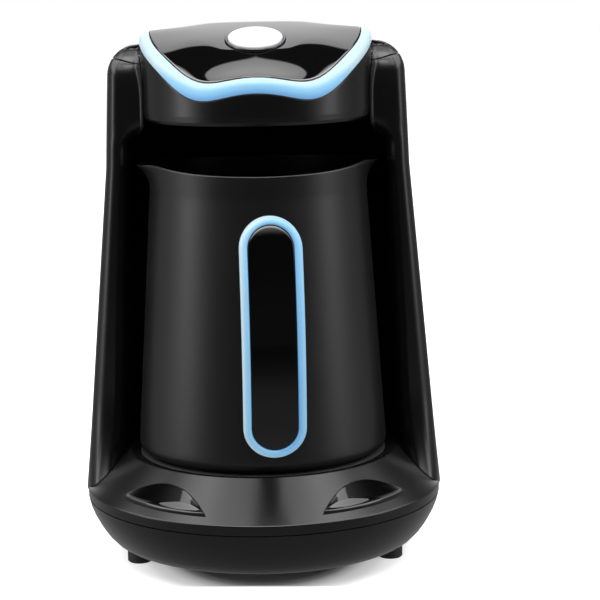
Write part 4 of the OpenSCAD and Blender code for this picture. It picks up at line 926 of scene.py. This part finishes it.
def stage_floor():
    """A wide pale floor: a diffuse white that keeps the shadow. White is added for the camera, little
    under the machine and more with the distance from it, so that the floor runs into the backdrop. Gloss
    sees a dimmer floor, darker close under the machine as a painted shadow, with the glow of the side lamps
    in it."""
    mesh = bpy.data.meshes.new("studio_floor")
    mesh.from_pydata([(-6, -6, 0), (6, -6, 0), (6, 6, 0), (-6, 6, 0)], [], [(0, 1, 2, 3)])
    floor = bpy.data.objects.new("studio_floor", mesh)
    bpy.context.scene.collection.objects.link(floor)
    mat = bpy.data.materials.new("studio_floor_white")
    mat.use_nodes = True
    nodes, links = mat.node_tree.nodes, mat.node_tree.links
    graph = Graph(mat.node_tree)
    nodes.remove(nodes["Principled BSDF"])
    diffuse = nodes.new("ShaderNodeBsdfDiffuse")
    diffuse.inputs["Color"].default_value = (0.8, 0.8, 0.8, 1)
    coords = nodes.new("ShaderNodeTexCoord")
    axes = nodes.new("ShaderNodeSeparateXYZ")
    links.new(coords.outputs["Object"], axes.inputs["Vector"])
    x, y = axes.outputs["X"], axes.outputs["Y"]
    white = graph.stops(graph.distance(x, graph.math("MULTIPLY", y, FLOOR_OVAL)), FLOOR_WHITE)
    away = graph.distance(x, y)
    level = graph.math("MULTIPLY_ADD", x, FLOOR_TURN, y)
    white = graph.math("MAXIMUM", white, graph.span(level, *FLOOR_FRONT))
    glow = nodes.new("ShaderNodeEmission")
    links.new(white, glow.inputs["Strength"])
    both = nodes.new("ShaderNodeAddShader")
    links.new(diffuse.outputs["BSDF"], both.inputs[0])
    links.new(glow.outputs["Emission"], both.inputs[1])
    lit = nodes.new("ShaderNodeMixShader")
    seen = graph.math("MAXIMUM", graph.ray("Is Camera Ray"), graph.ray("Is Transmission Ray"))
    links.new(seen, lit.inputs["Fac"])
    links.new(diffuse.outputs["BSDF"], lit.inputs[1])
    links.new(both.outputs["Shader"], lit.inputs[2])
    near = graph.stops(graph.math("MULTIPLY", away, NEAR_SCALE), NEAR_GLOW)
    sides = graph.side_glow(graph.math("DIVIDE", x, away), graph.math("DIVIDE", y, away))
    sides = graph.math("MULTIPLY", sides, graph.span(away, 0.1, 0.5))
    mirrored = nodes.new("ShaderNodeEmission")
    links.new(graph.math("MAXIMUM", near, sides), mirrored.inputs["Strength"])
    total = nodes.new("ShaderNodeMixShader")
    links.new(graph.ray("Is Glossy Ray"), total.inputs["Fac"])
    links.new(lit.outputs["Shader"], total.inputs[1])
    links.new(mirrored.outputs["Emission"], total.inputs[2])
    links.new(total.outputs["Shader"], nodes["Material Output"].inputs["Surface"])
    mesh.materials.append(mat)


def studio_world():
    """White for the camera and through glass. Gloss sees a white backdrop behind the machine that ends
    at a sharp upper edge, soft lights overhead, high in front and at both flanks, and the glow of the side
    lamps near the horizon. Everything else gets an even light."""
    world = bpy.data.worlds.new("studio_world")
    bpy.context.scene.world = world
    world.use_nodes = True
    nodes, links = world.node_tree.nodes, world.node_tree.links
    graph = Graph(world.node_tree)
    back = nodes["Background"]
    back.inputs["Color"].default_value = (1, 1, 1, 1)
    coords = nodes.new("ShaderNodeTexCoord")
    axes = nodes.new("ShaderNodeSeparateXYZ")
    links.new(coords.outputs["Generated"], axes.inputs["Vector"])
    x, y, z = (axes.outputs[k] for k in "XYZ")
    wide = graph.math("ABSOLUTE", x)
    edge = graph.span(z, BACKDROP_TOP - 0.012, BACKDROP_TOP + 0.012, 1.0, 0.0)
    backdrop = graph.math("MULTIPLY", graph.span(y, 0.05, 0.35), edge)
    backdrop = graph.math("MULTIPLY", backdrop, graph.span(wide, 0.3, 0.55, 1.0, 0.0))
    backdrop = graph.math("MULTIPLY", backdrop, graph.span(z, 0.2, 0.6, 1.15, 1.75))
    above = graph.math("MULTIPLY", graph.span(z, 0.8, 0.95, 0.0, 3.6), graph.span(y, 0.14, 0.24, 1.0, 0.0))
    ahead = graph.math("MULTIPLY", graph.span(z, 0.6, 0.75, 0.0, 6.0), graph.span(y, -0.3, -0.12, 1.0, 0.0))
    ahead = graph.math("MULTIPLY", ahead, graph.span(z, 0.9, 0.97, 1.0, 0.0))
    flanks = graph.math("MULTIPLY", graph.span(wide, 0.57, 0.68, 0.0, 5.0), graph.span(z, 0.3, 0.5))
    flanks = graph.math("MULTIPLY", flanks, graph.span(y, 0.38, 0.5, 1.0, 0.0))
    lights = graph.math("ADD", above, graph.math("ADD", ahead, flanks))
    sides = graph.math("MULTIPLY", graph.side_glow(x, y), graph.span(z, 0.1, 0.45, 1.0, 0.0))
    gloss = graph.math("ADD", graph.math("ADD", backdrop, lights), graph.math("ADD", sides, 0.03))
    gloss = graph.math("MULTIPLY", gloss, graph.ray("Is Glossy Ray"))
    seen = graph.math("MAXIMUM", graph.ray("Is Camera Ray"), graph.ray("Is Transmission Ray"))
    plain = graph.math("MULTIPLY", graph.ray("Is Diffuse Ray"), AMBIENT)
    links.new(graph.math("ADD", graph.math("ADD", gloss, seen), plain), back.inputs["Strength"])


def softbox(name, place, aim, width, height, power):
    """A flat rectangular lamp at place that faces aim."""
    lamp = bpy.data.lights.new(name, "AREA")
    lamp.shape = "RECTANGLE"
    lamp.size, lamp.size_y = width, height
    lamp.energy = power
    box = bpy.data.objects.new(name, lamp)
    bpy.context.scene.collection.objects.link(box)
    ahead = np.array(aim, float) - np.array(place, float)
    ahead /= np.linalg.norm(ahead)
    across = np.cross(ahead, (0, 0, 1.0) if abs(ahead[2]) < 0.99 else (0, 1.0, 0))
    across /= np.linalg.norm(across)
    up = np.cross(across, ahead)
    box.visible_camera = False
    box.matrix_world = Matrix([[across[k], up[k], -ahead[k], place[k]] for k in range(3)] + [[0, 0, 0, 1]])


stage_floor()
studio_world()
softbox("front_softbox", (0.0, -0.9, 1.5), (0.0, 0.0, 0.15), 1.0, 0.7, 12.0)
for side, word in ((-1, "left"), (1, "right")):
    softbox(f"overhead_{word}_softbox", (0.75 * side, -0.1, 1.35), (0.0, 0.0, 0.1), 0.8, 0.55, 5.6)
softbox("back_softbox", (0.0, 2.0, 0.55), (0.0, 0.0, 0.2), 2.2, 0.9, 6.0)
for side, word, power in ((-1, "left", 4.0), (1, "right", 3.2)):
    softbox(f"{word}_softbox", (1.4 * side, -0.35, 0.55), (0.0, 0.0, 0.12), 0.4, 1.1, power)


PICTURE_PX = 600.0
FOCAL_PX = 1971.0
CENTRE_PX = (262.0, 273.5)


def photo_camera():
    """The camera at the photograph's angle: 950 mm in front of the pot's axis, 288 mm up, turned 9
    degrees down."""
    camera = bpy.data.cameras.new("photo_camera")
    camera.sensor_width = 36.0
    camera.lens = FOCAL_PX / PICTURE_PX * camera.sensor_width
    camera.shift_x = (PICTURE_PX / 2 - CENTRE_PX[0]) / PICTURE_PX
    camera.shift_y = (CENTRE_PX[1] - PICTURE_PX / 2) / PICTURE_PX
    camera.clip_start = 0.05
    view = bpy.data.objects.new("photo_camera", camera)
    bpy.context.scene.collection.objects.link(view)
    place = Matrix.Translation((0.00107, (-950.0 + SHIFT_Y) * 0.001, 0.2878))
    tip, roll = Matrix.Rotation(math.radians(81.0), 4, "X"), Matrix.Rotation(math.radians(-1.1), 4, "Z")
    view.matrix_world = place @ tip @ roll
    bpy.context.scene.camera = view


photo_camera()
bpy.context.scene.view_settings.view_transform = "Standard"
